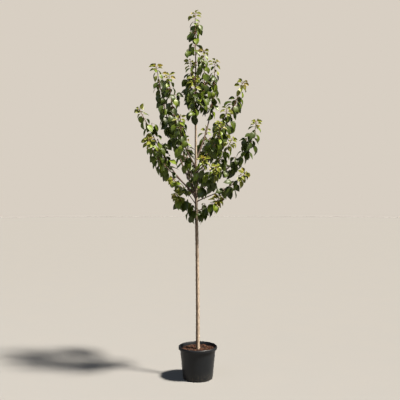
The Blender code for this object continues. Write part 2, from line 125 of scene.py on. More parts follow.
def add(tree, kind, settings=None, inputs=None, links=None, stops=()):
    """Adds one shader node with its settings, input values, links from other nodes and colour ramp stops."""
    made = tree.nodes.new("ShaderNode" + kind)
    for name, value in (settings or {}).items():
        setattr(made, name, value)
    for socket, value in (inputs or {}).items():
        made.inputs[socket].default_value = value
    join(tree, made, links or {})
    for i, (position, colour) in enumerate(stops):
        ramp = made.color_ramp.elements
        stop = ramp[i] if i < len(ramp) else ramp.new(position)
        stop.position = position
        stop.color = linear(colour)
    return made


# a Mix node names its sockets alike for each kind of data, so those for colour go by number
FIRST, SECOND, MIXED = 6, 7, 2
COLOUR_MIX = {"data_type": "RGBA"}


def new_material(name, **surface):
    """A material with only a Principled shader, and that shader's tree and node."""
    made = bpy.data.materials.new(name)
    made.use_nodes = True
    shader = made.node_tree.nodes["Principled BSDF"]
    for socket, value in surface.items():
        shader.inputs[socket.replace("_", " ")].default_value = value
    return made, made.node_tree, shader


MM = 0.001  # pattern sizes below are real millimetres


def cells_per_metre(millimetres):
    """A texture's scale where its pattern repeats about once in this many millimetres."""
    return 1 / (millimetres * MM)


# %% Lay the floor
FLOOR_RADIUS = 40.0
MOTTLE = 3.0  # patches of unevenness to the metre

start_clean()
bpy.ops.mesh.primitive_circle_add(vertices=96, radius=FLOOR_RADIUS, fill_type="NGON")
floor = bpy.context.object
floor.name = "studio_floor"
painted, tree, shader = new_material("matt_floor_paint", Roughness=0.85, Specular_IOR_Level=0.0)
# a rolled matt paint: almost even, with a very faint unevenness
place = add(tree, "TexCoord").outputs["Object"]
mottle = add(tree, "TexNoise", inputs={"Scale": MOTTLE}, links={"Vector": place})
tone = add(tree, "ValToRGB", links={"Fac": mottle}, stops=((0, "#757574"), (1, "#777674")))
join(tree, shader, {"Base Color": tone})
floor.data.materials.append(painted)
floor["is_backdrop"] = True

# %% Hang the lights
SUN_FROM = Vector((0.51, -0.23, 0.83))
SUN_DISTANCE = 5
SUN_STRENGTH = 14.0
SUN_SOFTNESS = math.radians(8)
SUN_COLOUR = "#fff6e9"
PANEL_AT = Vector((-2.6, -2.8, 4.6))
PANEL_AIM = Vector((0, 0, 1.4))
PANEL_SIZE = 4.0
PANEL_POWER = 80
PANEL_COLOUR = "#dce8fb"


def hang(name, kind, colour, place, aim, **settings):
    """Hangs a light of one kind, turned so that it shines at a point."""
    lamp = bpy.data.objects.new(name, bpy.data.lights.new(name, kind))
    lamp.data.color = linear(colour)[:3]
    for setting, value in settings.items():
        setattr(lamp.data, setting, value)
    lamp.location = place
    lamp.rotation_euler = (aim - lamp.location).to_track_quat("-Z", "Y").to_euler()
    bpy.context.scene.collection.objects.link(lamp)
    return lamp


sun = hang(
    "soft_sun", "SUN", SUN_COLOUR, SUN_DISTANCE * SUN_FROM, Vector((0, 0, 0)),
    energy=SUN_STRENGTH, angle=SUN_SOFTNESS,
)
panel = hang(
    "fill_panel", "AREA", PANEL_COLOUR, PANEL_AT, PANEL_AIM, energy=PANEL_POWER, size=PANEL_SIZE
)
print("lights", sun.name, panel.name)

# %% Light the room and show the backdrop
BACKDROP = "#d8cfc3"
LOW_GLOW = "#4a3824"  # the room's light from the sides, warm as off timber walls
HIGH_GLOW = "#4a525b"  # and from above, cool as through a skylight
HIGH_GLOW_FROM = 0.60  # as the height of its direction, where 1 is straight up

room_light = bpy.data.worlds.new("pale_studio")
room_light.use_nodes = True
tree = room_light.node_tree
ray = add(tree, "TexCoord").outputs["Generated"]
climb = add(tree, "SeparateXYZ", links={"Vector": ray}).outputs["Z"]
rise = add(
    tree, "MapRange", {"interpolation_type": "SMOOTHSTEP"}, {"From Max": HIGH_GLOW_FROM}, {"Value": climb}
)
glow = add(
    tree, "Mix", COLOUR_MIX, {FIRST: linear(LOW_GLOW), SECOND: linear(HIGH_GLOW)}, {"Factor": rise}
)
seen = add(tree, "LightPath").outputs["Is Camera Ray"]
shown = add(
    tree, "Mix", COLOUR_MIX, {SECOND: linear(BACKDROP)}, {"Factor": seen, FIRST: glow.outputs[MIXED]}
)
join(tree, tree.nodes["Background"], {"Color": shown.outputs[MIXED]})
bpy.context.scene.world = room_light
bpy.context.scene.view_settings.view_transform = "Standard"
print("backdrop", BACKDROP)

# %% [markdown]
# ## The pot
# The real pot is injection moulded from recycled black polypropylene: a thin tapered wall, a lip that turns
# out and down so that a hand can lift it, and a floor with drain holes. It is turned here as on a lathe. A
# disc is extruded up the outside, over the lip and down the inside, and each ring is resized to the wall's
# radius. A Screw modifier on a drawn profile would do as well, but extruding keeps the floor closed from
# the start.

# %% The pot's sizes
POT_HEIGHT = 0.232
POT_BASE_RADIUS = 0.107
POT_WALL_RADIUS = 0.128
POT_LIP_RADIUS = 0.140
POT_LIP_DROP = 0.019
POT_WALL = 0.0026
POT_FLOOR = 0.004
POT_FOOT = 0.004
BAND_TOP = 0.011  # the band round the foot, set back a little from the wall above it
BAND_DEPTH = 0.0008
WALL_FROM = 0.012
WALL_STAGES = 6
DRAIN_HOLES = 8
DRAIN_RADIUS = 0.0065
DRAIN_RING = 0.078
DRAIN_SIDES = 24
ROUND = 96
LIP_EDGE = POT_HEIGHT - POT_LIP_DROP
LIP_INNER = POT_LIP_RADIUS - POT_WALL - 0.001
# the lip as (radius, height), up the hollow under it, and then over its outside with each corner's bevel
LIP_HOLLOW = ((POT_WALL_RADIUS + 0.003, POT_HEIGHT - 0.008), (LIP_INNER - 0.002, POT_HEIGHT - 0.006))
LIP_CORNERS = {
    (POT_LIP_RADIUS, LIP_EDGE): 0.0008,
    (POT_LIP_RADIUS, POT_HEIGHT - 0.005): 0.0030,
    (POT_LIP_RADIUS - 0.004, POT_HEIGHT): 0.0026,
    (POT_WALL_RADIUS + 0.004, POT_HEIGHT): 0.0016,
}


def wall_radius(height):
    """The pot's outer radius at a height, below the lip."""
    return POT_BASE_RADIUS + (POT_WALL_RADIUS - POT_BASE_RADIUS) * height / LIP_EDGE


def pot_profile():
    """The pot's outline as (radius, height), from its underside up, over the lip and down to its floor."""
    foot = [(POT_BASE_RADIUS - POT_FOOT, 0.0)]
    foot += [(wall_radius(height) - BAND_DEPTH, height) for height in (POT_FOOT, BAND_TOP)]
    heights = [WALL_FROM] + [LIP_EDGE * i / WALL_STAGES for i in range(1, WALL_STAGES + 1)]
    wall = [(wall_radius(height), height) for height in heights]
    lip = [*LIP_HOLLOW, (LIP_INNER, LIP_EDGE), *LIP_CORNERS]
    inside = [(POT_WALL_RADIUS - POT_WALL, LIP_EDGE), (wall_radius(POT_FLOOR) - POT_WALL, POT_FLOOR)]
    return foot + wall + lip + inside


# %% Helpers for one piece
def activate(piece):
    """Selects one piece alone, as the one that operators act on."""
    start_clean()
    piece.select_set(True)
    bpy.context.view_layer.objects.active = piece


def smooth(piece, degrees):
    """Shades a piece smooth, apart from edges sharper than an angle."""
    activate(piece)
    bpy.ops.object.shade_smooth_by_angle(angle=math.radians(degrees))


def face_outward():
    """Turns every face of the active piece outward."""
    set_mode("EDIT")
    bpy.ops.mesh.select_all(action="SELECT")
    bpy.ops.mesh.normals_make_consistent(inside=False)
    set_mode("OBJECT")


# %% Turn the pot
def turn(name, profile, sides):
    """A closed piece turned from a profile of (radius, height), by extruding a disc from ring to ring."""
    start_clean()
    radius, height = profile[0]
    bpy.ops.mesh.primitive_circle_add(
        vertices=sides, radius=radius, fill_type="NGON", location=(0, 0, height)
    )
    made = bpy.context.object
    made.name = name
    bpy.ops.object.transform_apply(location=True, rotation=False, scale=False)
    set_mode("EDIT")
    bpy.ops.mesh.select_all(action="SELECT")
    for next_radius, next_height in profile[1:]:
        rise = (0, 0, next_height - height)
        bpy.ops.mesh.extrude_region_move(TRANSFORM_OT_translate={"value": rise})
        grow = next_radius / radius
        bpy.ops.transform.resize(value=(grow, grow, 1), center_override=(0, 0, next_height))
        radius, height = next_radius, next_height
    face_outward()
    return made


def select_edges(piece, wanted):
    """Selects the edges of a piece whose two ends pass a test, ready for edit mode."""
    activate(piece)
    set_mode("EDIT")
    bpy.ops.mesh.select_mode(type="EDGE")
    bpy.ops.mesh.select_all(action="DESELECT")
    set_mode("OBJECT")
    points = piece.data.vertices
    for edge in piece.data.edges:
        edge.select = wanted(*(points[i].co for i in edge.vertices))
    set_mode("EDIT")


def on_ring(radius, height, near=2e-4):
    """A test for edges that run along one ring of the pot."""
    return lambda *ends: all(
        abs(math.hypot(p.x, p.y) - radius) < near and abs(p.z - height) < near for p in ends
    )


pot = turn("nursery_pot", pot_profile(), ROUND)
for corner, size in LIP_CORNERS.items():
    select_edges(pot, on_ring(*corner))
    bpy.ops.mesh.bevel(offset=size, segments=3, affect="EDGES")
    set_mode("OBJECT")
print("pot turned,", len(pot.data.polygons), "faces")

# %% Drill the drain holes
for i in range(DRAIN_HOLES):
    angle = 2 * math.pi * (i + 0.5) / DRAIN_HOLES
    spot = (DRAIN_RING * math.cos(angle), DRAIN_RING * math.sin(angle), POT_FLOOR / 2)
    start_clean()
    bpy.ops.mesh.primitive_cylinder_add(
        vertices=DRAIN_SIDES, radius=DRAIN_RADIUS, depth=3 * POT_FLOOR, location=spot
    )
    drill = bpy.context.object
    hole = pot.modifiers.new("drain", "BOOLEAN")
    hole.operation = "DIFFERENCE"
    hole.object = drill
    activate(pot)
    bpy.ops.object.modifier_apply(modifier=hole.name)
    bpy.data.objects.remove(drill)
smooth(pot, 35)
print("drain holes", DRAIN_HOLES)

# %% [markdown]
# ### Moulded polypropylene
# Recycled black polypropylene comes out of the mould charcoal and not quite even, with a fine grain from
# the tool that blurs its reflections. It has handling scuffs, and splashes of soil dry on it as pale dust
# near the floor. The colour could be one value, but the dust and the uneven gloss are what tell a used pot
# from a rendered one.

# %% The pot's plastic
DUST_HEIGHT = 0.075
DUST_COLOUR = "#5a5245"
DUST_MOST = 0.5

plastic, tree, shader = new_material("moulded_polypropylene", IOR=1.49, Specular_IOR_Level=0.30)
on_pot = {"Vector": add(tree, "TexCoord").outputs["Object"]}
cloud = add(tree, "TexNoise", inputs={"Scale": cells_per_metre(60), "Detail": 4.0}, links=on_pot)
base = add(tree, "ValToRGB", links={"Fac": cloud}, stops=((0, "#0c0f12"), (1, "#14171b")))
height = add(tree, "SeparateXYZ", links=on_pot).outputs["Z"]
low_down = add(
    tree, "MapRange", inputs={"From Min": DUST_HEIGHT, "From Max": 0.0}, links={"Value": height}
)
specks = add(tree, "TexNoise", inputs={"Scale": cells_per_metre(9), "Detail": 5.0}, links=on_pot)
splash = add(tree, "MapRange", inputs={"From Min": 0.48, "From Max": 0.72}, links={"Value": specks})
dusty = add(tree, "Math", {"operation": "MULTIPLY"}, links={0: low_down, 1: splash})
thin = add(tree, "Math", {"operation": "MULTIPLY"}, {1: DUST_MOST}, {0: dusty})
colour = add(tree, "Mix", COLOUR_MIX, {SECOND: linear(DUST_COLOUR)}, {"Factor": thin, FIRST: base})
gloss = add(tree, "MapRange", inputs={"To Min": 0.36, "To Max": 0.50}, links={"Value": specks})
grain = add(tree, "TexNoise", inputs={"Scale": cells_per_metre(1.6)}, links=on_pot)
bump = add(tree, "Bump", inputs={"Strength": 0.25, "Distance": 0.15 * MM}, links={"Height": grain})
join(tree, shader, {"Base Color": colour.outputs[MIXED], "Roughness": gloss, "Normal": bump})
pot.data.materials.append(plastic)
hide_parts("pot")
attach(pot, "root")
print("pot material", plastic.name)

# %% [markdown]
# ## The tree's rule
# A tree isn't drawn limb by limb. Each shoot is one smooth curve from the trunk to its tip, set by a few
# named sizes: where it starts, how far and how high it reaches, which way it heads and how it bends. Leaves
# follow round the stem a golden angle apart, 137.5 degrees, which is how a real stem spaces them so that
# none shades the next. The sizes are the same as in the solids, so what grows here fills the same room.

# %% The trunk's line and taper
SOIL_TOP = 0.209
TRUNK_BASE_RADIUS = 0.0138
TRUNK_TOP = 2.36
TRUNK_TOP_RADIUS = 0.0034
TRUNK_LEAN = -0.021
TRUNK_WANDER = 0.0025
WANDER_TURNS = (9.0, 7.0)  # radians of wander over the whole height, across and in depth
TRUNK_TAPER = 1.7
FLARE_HEIGHT = 0.055
FLARE_EXTRA = 0.003
FLARE_LOBES = 5
FLARE_EVENNESS = 0.75  # how much of the flare is the same all round
LEADER_TIP_HEIGHT = 2.635
UP = Vector((0, 0, 1))


def trunk_centre(height):
    """The middle of the trunk at a height: a slight lean to the left with a slow wander."""
    share = (height - SOIL_TOP) / (LEADER_TIP_HEIGHT - SOIL_TOP)
    across = TRUNK_LEAN * share + TRUNK_WANDER * math.sin(WANDER_TURNS[0] * share)
    depth = TRUNK_WANDER * (math.sin(WANDER_TURNS[1] * share + 1.0) - math.sin(1.0))
    return Vector((across, depth, height))


def trunk_radius(height):
    """A slow taper up to the boughs, and a quicker one above them."""
    share = max(0.0, (height - SOIL_TOP) / (TRUNK_TOP - SOIL_TOP))
    return TRUNK_BASE_RADIUS + (TRUNK_TOP_RADIUS - TRUNK_BASE_RADIUS) * share**TRUNK_TAPER


def trunk_flare(height, angle):
    """What the root flare adds just above the compost."""
    share = max(0.0, 1.0 - (height - SOIL_TOP) / FLARE_HEIGHT)
    return FLARE_EXTRA * share**2 * (FLARE_EVENNESS + (1 - FLARE_EVENNESS) * math.cos(FLARE_LOBES * angle))


# %% The shoots
LEAF_SPACING = 0.036

# name: height on the trunk, height of the tip, reach from the trunk, heading (0 right, 90 back),
# angle between bough and trunk, angle of the tip from upright, bare share, leaf spacing
SHOOTS = {
    "left_low": (1.195, 1.326, 0.170, -150, 56, 58, 0.40, 0.013),
    "right_low": (1.205, 1.298, 0.172, -21, 74, 30, 0.35, 0.015),
    "left_short": (1.245, 1.441, 0.181, -163, 30, 46, 0.45, 0.015),
    "back_low": (1.258, 1.504, 0.362, 96, 62, 30, 0.40, 0.028),
    "right_arm": (1.272, 1.473, 0.365, -19, 66, 42, 0.45, 0.020),
    "left_drop": (1.288, 1.708, 0.387, -148, 34, 16, 0.46, 0.020),
    "front_mid": (1.302, 1.506, 0.296, -62, 60, 40, 0.28, 0.020),
    "front_right": (1.320, 1.700, 0.326, -41, 40, 32, 0.36, 0.026),
    "left_wide": (1.324, 1.924, 0.413, -166, 54, 30, 0.40, 0.026),
    "left_tall": (1.335, 2.265, 0.301, 168, 30, 12, 0.36, 0.026),
    "right_wide": (1.345, 1.843, 0.431, -10, 54, 2, 0.34, 0.026),
    "back_left": (1.354, 1.769, 0.350, 104, 52, 15, 0.36, LEAF_SPACING),
    "front_low": (1.368, 1.564, 0.301, -80, 62, 20, 0.33, 0.022),
    "right_tall": (1.400, 2.156, 0.360, 16, 30, 20, 0.30, 0.026),
    "left_inner": (1.400, 1.850, 0.283, -112, 76, 2, 0.36, 0.030),
    "back_right": (1.436, 1.845, 0.329, 77, 50, 12, 0.40, LEAF_SPACING),
    "front_upper": (1.480, 1.797, 0.306, -56, 68, 18, 0.36, 0.030),
    "right_mid": (1.500, 1.922, 0.265, -35, 44, 12, 0.30, 0.030),
    "left_second": (1.520, 2.166, 0.221, -148, 36, 2, 0.30, 0.026),
    "right_back": (1.573, 2.316, 0.185, 40, 30, 2, 0.46, 0.030),
    "upper_front": (1.820, 2.145, 0.085, -95, 40, 4, 0.18, 0.028),
    "upper_right": (1.880, 2.357, 0.067, -28, 34, 2, 0.16, 0.028),
    "upper_left": (1.900, 2.283, 0.041, 160, 30, 10, 0.16, 0.028),
}
LEADER_SPRAYS = 7
LEADER_SPRAYS_FROM = 1.987
LEADER_SPRAYS_TO = 2.330
LEADER_SPRAYS_TURN = 1.457
LEADER_LEAF_SPACING = 0.030
SPURS = {"spur_left": (1.184, -125), "spur_right": (1.190, 25)}
SPUR_LENGTH = 0.085
SPRAY_LENGTH = 0.066
SPRAY_RISE = math.radians(48)
SPRAY_LEAF_SPACING = 0.011
SPRAY_SAG = 0.06
SPRAY_BEND = 0.5  # where between its foot and its middle the line turns
TIP_SUNK = 0.004  # how far the leader's leafy end reaches into the trunk

# %% A shoot's curve
TWIG_TIP_RADIUS = 0.0014
TWIG_SWELL = 0.0060
TWIG_POWER = 0.8
CURVE_PULL = 0.36
STEM_STEP = 0.006  # the finest step along a limb
LEAF_TURN = math.radians(137.5)


def limb_radius(beyond):
    """A limb's radius where this length of it is still to come."""
    return TWIG_TIP_RADIUS + TWIG_SWELL * max(0.0, beyond) ** TWIG_POWER


def spaced(points, step):
    """The same line with points evenly about a step apart, and its length."""
    line = np.array([tuple(p) for p in points])
    gone = np.concatenate([[0.0], np.cumsum(np.linalg.norm(np.diff(line, axis=0), axis=1))])
    count = max(3, round(gone[-1] / step))
    places = np.linspace(0, gone[-1], count + 1)
    even = np.stack([np.interp(places, gone, line[:, axis]) for axis in range(3)], axis=1)
    return [Vector(p) for p in even.tolist()], float(gone[-1])


def curve_through(base, tip, out, crotch, lean):
    """A bough's curve: it leaves the trunk at one angle and rises to another."""
    pull = (tip - base).length * CURVE_PULL
    first = base + pull * (math.sin(crotch) * out + math.cos(crotch) * UP)
    second = tip - pull * (math.sin(lean) * out + math.cos(lean) * UP)
    shares = [i / 100 for i in range(101)]
    fine = [
        (1 - t) ** 3 * base + 3 * t * (1 - t) ** 2 * first + 3 * t**2 * (1 - t) * second + t**3 * tip
        for t in shares
    ]
    return spaced(fine, STEM_STEP)


def sagging_line(base, end, sag, share):
    """A twig's line, which sags by this much below the straight one, and its length."""
    middle = base.lerp(end, 0.5) - sag * UP
    return spaced([base, base.lerp(middle, share), middle, middle.lerp(end, share), end], STEM_STEP)


def heading_vector(degrees):
    return Vector((math.cos(math.radians(degrees)), math.sin(math.radians(degrees)), 0))


# %% Lay out every stem
class Stem:
    """One woody line with its owner's name, its length, its leaves' spacing and whether it still grows."""

    def __init__(self, owner, line, length, spacing, order=0, growing=False):
        self.owner = owner
        self.line = line
        self.length = length
        self.spacing = spacing
        self.order = order
        self.growing = growing


def lay_out_shoots():
    """The bare boughs as (line, length still to come at each point), and the leafy stems beyond them."""
    boughs, stems = [], []
    for name, (start, top, reach, heading, crotch, lean, bare, spacing) in SHOOTS.items():
        base = trunk_centre(start)
        out = heading_vector(heading)
        tip = base + reach * out
        tip.z = top
        line, length = curve_through(base, tip, out, math.radians(crotch), math.radians(lean))
        step = length / (len(line) - 1)
        cut = round(bare * (len(line) - 1))
        boughs.append((line[: cut + 2], [length - step * i for i in range(cut + 2)]))
        stems.append(Stem(name, line[cut:], length - step * cut, spacing, growing=True))
    return boughs, stems


def lay_out_sprays():
    """The leafy end of the leader, the sprays round the upper trunk and the spurs under the lowest bough."""
    heights = np.linspace(TRUNK_TOP - TIP_SUNK, LEADER_TIP_HEIGHT, 40).tolist()
    tip = [trunk_centre(height) for height in heights]
    stems = [Stem("leader_tip", tip, heights[-1] - heights[0], LEADER_LEAF_SPACING, growing=True)]
    places = {}
    for i, height in enumerate(np.linspace(LEADER_SPRAYS_FROM, LEADER_SPRAYS_TO, LEADER_SPRAYS).tolist()):
        places[f"leader_{i + 1}"] = (height, math.degrees(LEADER_SPRAYS_TURN + LEAF_TURN * i))
    places.update(SPURS)
    for name, (height, heading) in places.items():
        base = trunk_centre(height)
        reach = trunk_radius(height) + (SPUR_LENGTH if name in SPURS else SPRAY_LENGTH)
        end = base + reach * (math.sin(SPRAY_RISE) * heading_vector(heading) + math.cos(SPRAY_RISE) * UP)
        line, length = sagging_line(base, end, SPRAY_SAG * reach, SPRAY_BEND)
        stems.append(Stem(name, line, length, SPRAY_LEAF_SPACING))
    return stems


boughs, stems = lay_out_shoots()
stems += lay_out_sprays()
stem_length = sum(stem.length for stem in stems)
print("boughs", len(boughs), "leafy stems", len(stems), "metres of them", round(stem_length, 1))

# %% [markdown]
# ## Trunk
# The trunk is a clear stem two fingers thick, grey-brown, with fine upright cracks, cross lines of
# lenticels (the pores that a young tree breathes through) and the healed scars of side shoots that were
# rubbed off in the nursery. A straight rod is turned like the pot and its upright edges are subdivided,
# which gives rings three millimetres apart. Each ring then moves to the trunk's own line and radius, and
# the relief is added to it. A sculpted or image-based bark could look as rich, but this one is exact, light
# and the same each time.

# %% Raise the trunk
TRUNK_SIDES = 48
TRUNK_STAGES = 8
TRUNK_CUTS = 89
TRUNK_SUNK = 0.004  # how far the trunk's foot reaches into the compost

trunk_foot = SOIL_TOP - TRUNK_SUNK
stage = (TRUNK_TOP - trunk_foot) / TRUNK_STAGES
straight = [(TRUNK_BASE_RADIUS, trunk_foot + stage * i) for i in range(TRUNK_STAGES + 1)]
trunk = turn("trunk_with_bark", straight, TRUNK_SIDES)
select_edges(trunk, lambda low, high: abs(high.z - low.z) > stage / 2)
bpy.ops.mesh.subdivide(number_cuts=TRUNK_CUTS)
set_mode("OBJECT")
print("trunk rings", TRUNK_STAGES * (TRUNK_CUTS + 1) + 1, "points", len(trunk.data.vertices))

# %% The bark's relief
CRACK_WIDTH = 2.2 * MM
CRACK_LENGTH = 16 * MM
CRACK_DEPTH = 0.45 * MM
RIPPLE_WIDTH = 20 * MM
RIPPLE_HEIGHT = 35 * MM
RIPPLE_DEPTH = 0.6 * MM
SCAR_SIZE = 7 * MM
SCAR_RISE = 1.3 * MM
SCAR_WIDTH = 1.3  # of its height
SCAR_SPACING = 0.105
SCAR_SPREAD = (0.7, 1.2)
SCARS_FROM = 0.09  # above the compost
SCARS_END = 0.03  # below the first bough
DIMPLE_SIZE = 0.3  # of the scar's, for the dent in its middle
DIMPLE_DEPTH = 0.7  # of its rise


def bark_relief(point):
    """How far bark stands out at a point: slow ripples along the stem, and fine cracks that run up it."""
    ripple = noise.noise(Vector((point.x / RIPPLE_WIDTH, point.y / RIPPLE_WIDTH, point.z / RIPPLE_HEIGHT)))
    crack = noise.noise(Vector((point.x / CRACK_WIDTH, point.y / CRACK_WIDTH, point.z / CRACK_LENGTH)))
    return RIPPLE_DEPTH * ripple - CRACK_DEPTH * max(0.0, crack) ** 0.5


def bud_scars(rng):
    """Places of healed buds up the clear stem, a golden angle apart, as (height, angle)."""
    places, height, angle = [], SOIL_TOP + SCARS_FROM, rng.uniform(0, 2 * math.pi)
    while height < min(start for start, *rest in SHOOTS.values()) - SCARS_END:
        places.append((height, angle % (2 * math.pi)))
        height += SCAR_SPACING * rng.uniform(*SCAR_SPREAD)
        angle += LEAF_TURN
    return places


scars = bud_scars(random.Random("scars"))
for vertex in trunk.data.vertices:
    height = vertex.co.z
    angle = math.atan2(vertex.co.y, vertex.co.x) % (2 * math.pi)
    outward = Vector((math.cos(angle), math.sin(angle), 0))
    radius = trunk_radius(height) + trunk_flare(max(height, SOIL_TOP), angle)
    surface = trunk_centre(height) + radius * outward
    rise = bark_relief(surface)
    for scar_height, scar_angle in scars:
        if abs(height - scar_height) < 3 * SCAR_SIZE:
            aside = radius * ((angle - scar_angle + math.pi) % (2 * math.pi) - math.pi)
            away = math.hypot(aside / SCAR_WIDTH, height - scar_height) / SCAR_SIZE
            dimple = DIMPLE_DEPTH * math.exp(-((away / DIMPLE_SIZE) ** 2))
            rise += SCAR_RISE * (math.exp(-(away**2)) - dimple)
    vertex.co = surface + rise * outward
smooth(trunk, 60)
print("bud scars", len(scars))

# %% [markdown]
# ## Boughs and shoots
# Every limb is a curve with a round bevel: a line with a radius at each point. That is how most trees are
# built by hand, because the line can be bent without touching the surface. All limbs of one kind are
# splines of one curve, which is then converted to a mesh. Each bough swells into a collar where it leaves
# the trunk.

# %% Limbs from curves
def limbs_from_lines(name, lines, resolution):
    """One mesh of tapering tubes, from pairs of a line and the radius at each of its points."""
    start_clean()
    bpy.ops.curve.primitive_nurbs_path_add()
    made = bpy.context.object
    made.name = name
    shape = made.data
    shape.splines.clear()
    shape.dimensions = "3D"
    shape.bevel_depth = 1.0
    shape.bevel_resolution = resolution
    shape.use_fill_caps = True
    for line, radii in lines:
        spline = shape.splines.new("POLY")
        spline.points.add(len(line) - 1)
        for point, place, radius in zip(spline.points, line, radii):
            point.co = (*place, 1)
            point.radius = radius
    bpy.ops.object.convert(target="MESH")
    made = bpy.context.object
    face_outward()
    smooth(made, 50)
    return made


COLLAR_LENGTH = 0.014
COLLAR_SWELL = 0.45
BOUGH_RELIEF = 0.7  # younger bark than the trunk's, so its relief is shallower


def collar(line, base_radius):
    """How much thicker a bough is at each point for the collar at its foot."""
    gone = [(point - line[0]).length for point in line]
    return [1 + COLLAR_SWELL * math.exp(-max(0.0, g - base_radius) / COLLAR_LENGTH) for g in gone]


bough_lines = []
for line, beyond in boughs:
    swell = collar(line, trunk_radius(line[0].z))
    bough_lines.append((line, [limb_radius(b) * s for b, s in zip(beyond, swell)]))
bough_bark = limbs_from_lines("boughs_with_bark", bough_lines, 7)
outwards = [vertex.normal.copy() for vertex in bough_bark.data.vertices]
for vertex, outward in zip(bough_bark.data.vertices, outwards):
    vertex.co += BOUGH_RELIEF * bark_relief(vertex.co) * outward
print("boughs", len(boughs), "faces", len(bough_bark.data.polygons))

# %% [markdown]
# ## Growing twigs
# Each leafy stem carries side twigs, and each side twig carries shorter ones that hold little rosettes of
# leaves. A twig is kept only where it stays in its own mass: near its own stem, and no nearer to another
# one. That rule keeps the gaps through which the background shows.

# %% The room that each mass keeps to
SPACE_RADIUS = 0.130
SPACE_SHARED = 0.020
OWNERS = [stem.owner for stem in stems]


def tree_of(points):
    """A search tree that finds which of these points lie near a place."""
    made = KDTree(len(points))
    for i, point in enumerate(points):
        made.insert(point, i)
    made.balance()
    return made


class Room:
    """Where limbs are, so that leaves and twigs keep to their own mass and clear of all wood."""

    def __init__(self):
        self.wood = []

    def add_wood(self, owner, line, thickness):
        self.wood += [(owner, point, thickness) for point in line]

    def settle(self):
        """Sorts the wood that has been added, so that what lies near a point is found quickly."""
        self.everything = tree_of([point for owner, point, thickness in self.wood])
        owned = {}
        for owner, point, thickness in self.wood:
            owned.setdefault(owner, []).append(point)
        self.own = {owner: tree_of(points) for owner, points in owned.items()}

    def allows(self, owner, places):
        """Whether places lie near their owner's stem and no nearer to another's."""
        for place in places:
            gap = self.own[owner].find(place)[2]
            if gap > SPACE_RADIUS:
                return False
            nearer = self.everything.find_range(place, max(0.0, gap - SPACE_SHARED))
            if any(self.wood[i][0] not in (owner, TRUNK) for point, i, distance in nearer):
                return False
        return True

    def clear_of_wood(self, places, gap):
        """Whether places lie at least this gap from the surface of all wood."""
        for place in places:
            for point, i, distance in self.everything.find_range(place, THICKEST + gap):
                if distance < self.wood[i][2] + gap:
                    return False
        return True


TRUNK = -1
THICKEST = 0.012  # no limb is thicker than this among the leaves
STEM_ROOM = 0.003  # how far from a limb's middle line its wood reaches
BOUGH_ROOM = 0.007
TWIG_ROOM = 0.002
room = Room()
for i, stem in enumerate(stems):
    room.add_wood(i, stem.line, STEM_ROOM)
for height in np.arange(SOIL_TOP, TRUNK_TOP, STEM_STEP).tolist():
    room.add_wood(TRUNK, [trunk_centre(height)], trunk_radius(height))
for name, (line, beyond) in zip(SHOOTS, boughs):
    room.add_wood(OWNERS.index(name), line, BOUGH_ROOM)
room.settle()
print("points of wood", len(room.wood))

# %% Twigs and finer twigs
TWIG_SPACING = (0.070, 0.026)  # along a stem, and along a side twig
TWIG_REACH = ((0.025, 0.055), (0.010, 0.022))
TWIG_LIFT = 0.15
TWIG_SAG = 0.05
TWIG_BEND = 0.55
TWIG_AHEAD = 0.7
TWIG_FIRST = (0.3, 0.7)  # of the spacing, from the foot of the stem
TWIG_SPREAD = (0.8, 1.25)
TWIG_LEAF_SPACING = (0.0, 0.015, 0.008)  # by order: stem, side twig, finer twig
YOUNG_LENGTH = 0.085  # how much of a stem's end has no side twigs yet
YOUNG_SHARE = 0.3  # and of a side twig's end, as a share of it


def axes_at(line, i):
    """The direction of a line at a point, and two axes square to it."""
    ahead = (line[min(i + 1, len(line) - 1)] - line[max(i - 1, 0)]).normalized()
    side = ahead.cross(Vector((0.3, 1.0, 0.1))).normalized()
    return ahead, side, ahead.cross(side)


def place_on(stem, distance):
    """The point and the axes at a distance along a stem."""
    share = distance / stem.length * (len(stem.line) - 1)
    i = min(int(share), len(stem.line) - 2)
    return stem.line[i].lerp(stem.line[i + 1], share - i), axes_at(stem.line, i)


def side_twigs(stem, owner, rng):
    """The shorter twigs that leave the older part of a stem, as stems of the next order."""
    spacing, reaches = TWIG_SPACING[stem.order], TWIG_REACH[stem.order]
    young = YOUNG_LENGTH if stem.order == 0 else YOUNG_SHARE * stem.length
    turn = rng.uniform(0, 2 * math.pi)
    place = spacing * rng.uniform(*TWIG_FIRST)
    found = []
    while place < stem.length - young:
        root, (ahead, side, other) = place_on(stem, place)
        out = math.cos(turn) * side + math.sin(turn) * other
        reach = rng.uniform(*reaches)
        end = root + reach * ((out + TWIG_AHEAD * ahead).normalized() + TWIG_LIFT * UP)
        line, length = sagging_line(root, end, TWIG_SAG * reach, TWIG_BEND)
        if room.allows(owner, line[1:]):
            order = stem.order + 1
            found.append(Stem(stem.owner, line, length, TWIG_LEAF_SPACING[order], order))
        turn += LEAF_TURN
        place += spacing * rng.uniform(*TWIG_SPREAD)
    return found


all_stems = []
for owner, stem in enumerate(stems):
    rng = random.Random("twigs of " + stem.owner)
    all_stems.append((owner, stem))
    for twig in side_twigs(stem, owner, rng):
        all_stems.append((owner, twig))
        all_stems += [(owner, finer) for finer in side_twigs(twig, owner, rng)]
for owner, stem in all_stems:
    if stem.order:
        room.add_wood(owner, stem.line, TWIG_ROOM)
room.settle()
print("stems by order", [sum(s.order == k for o, s in all_stems) for k in range(3)])

# %% [markdown]
# ## One leaf
# The leaf is egg-shaped with a drawn-out tip that sheds rain, as on a pear or an apricot. It is modelled
# once, flat: a grid of four by six, whose rows are scaled to the outline, thickened with Solidify. A real
# blade is never flat, so each copy gets its own fold along the midrib, its own curl and its own twist when
# it is set on its stalk.

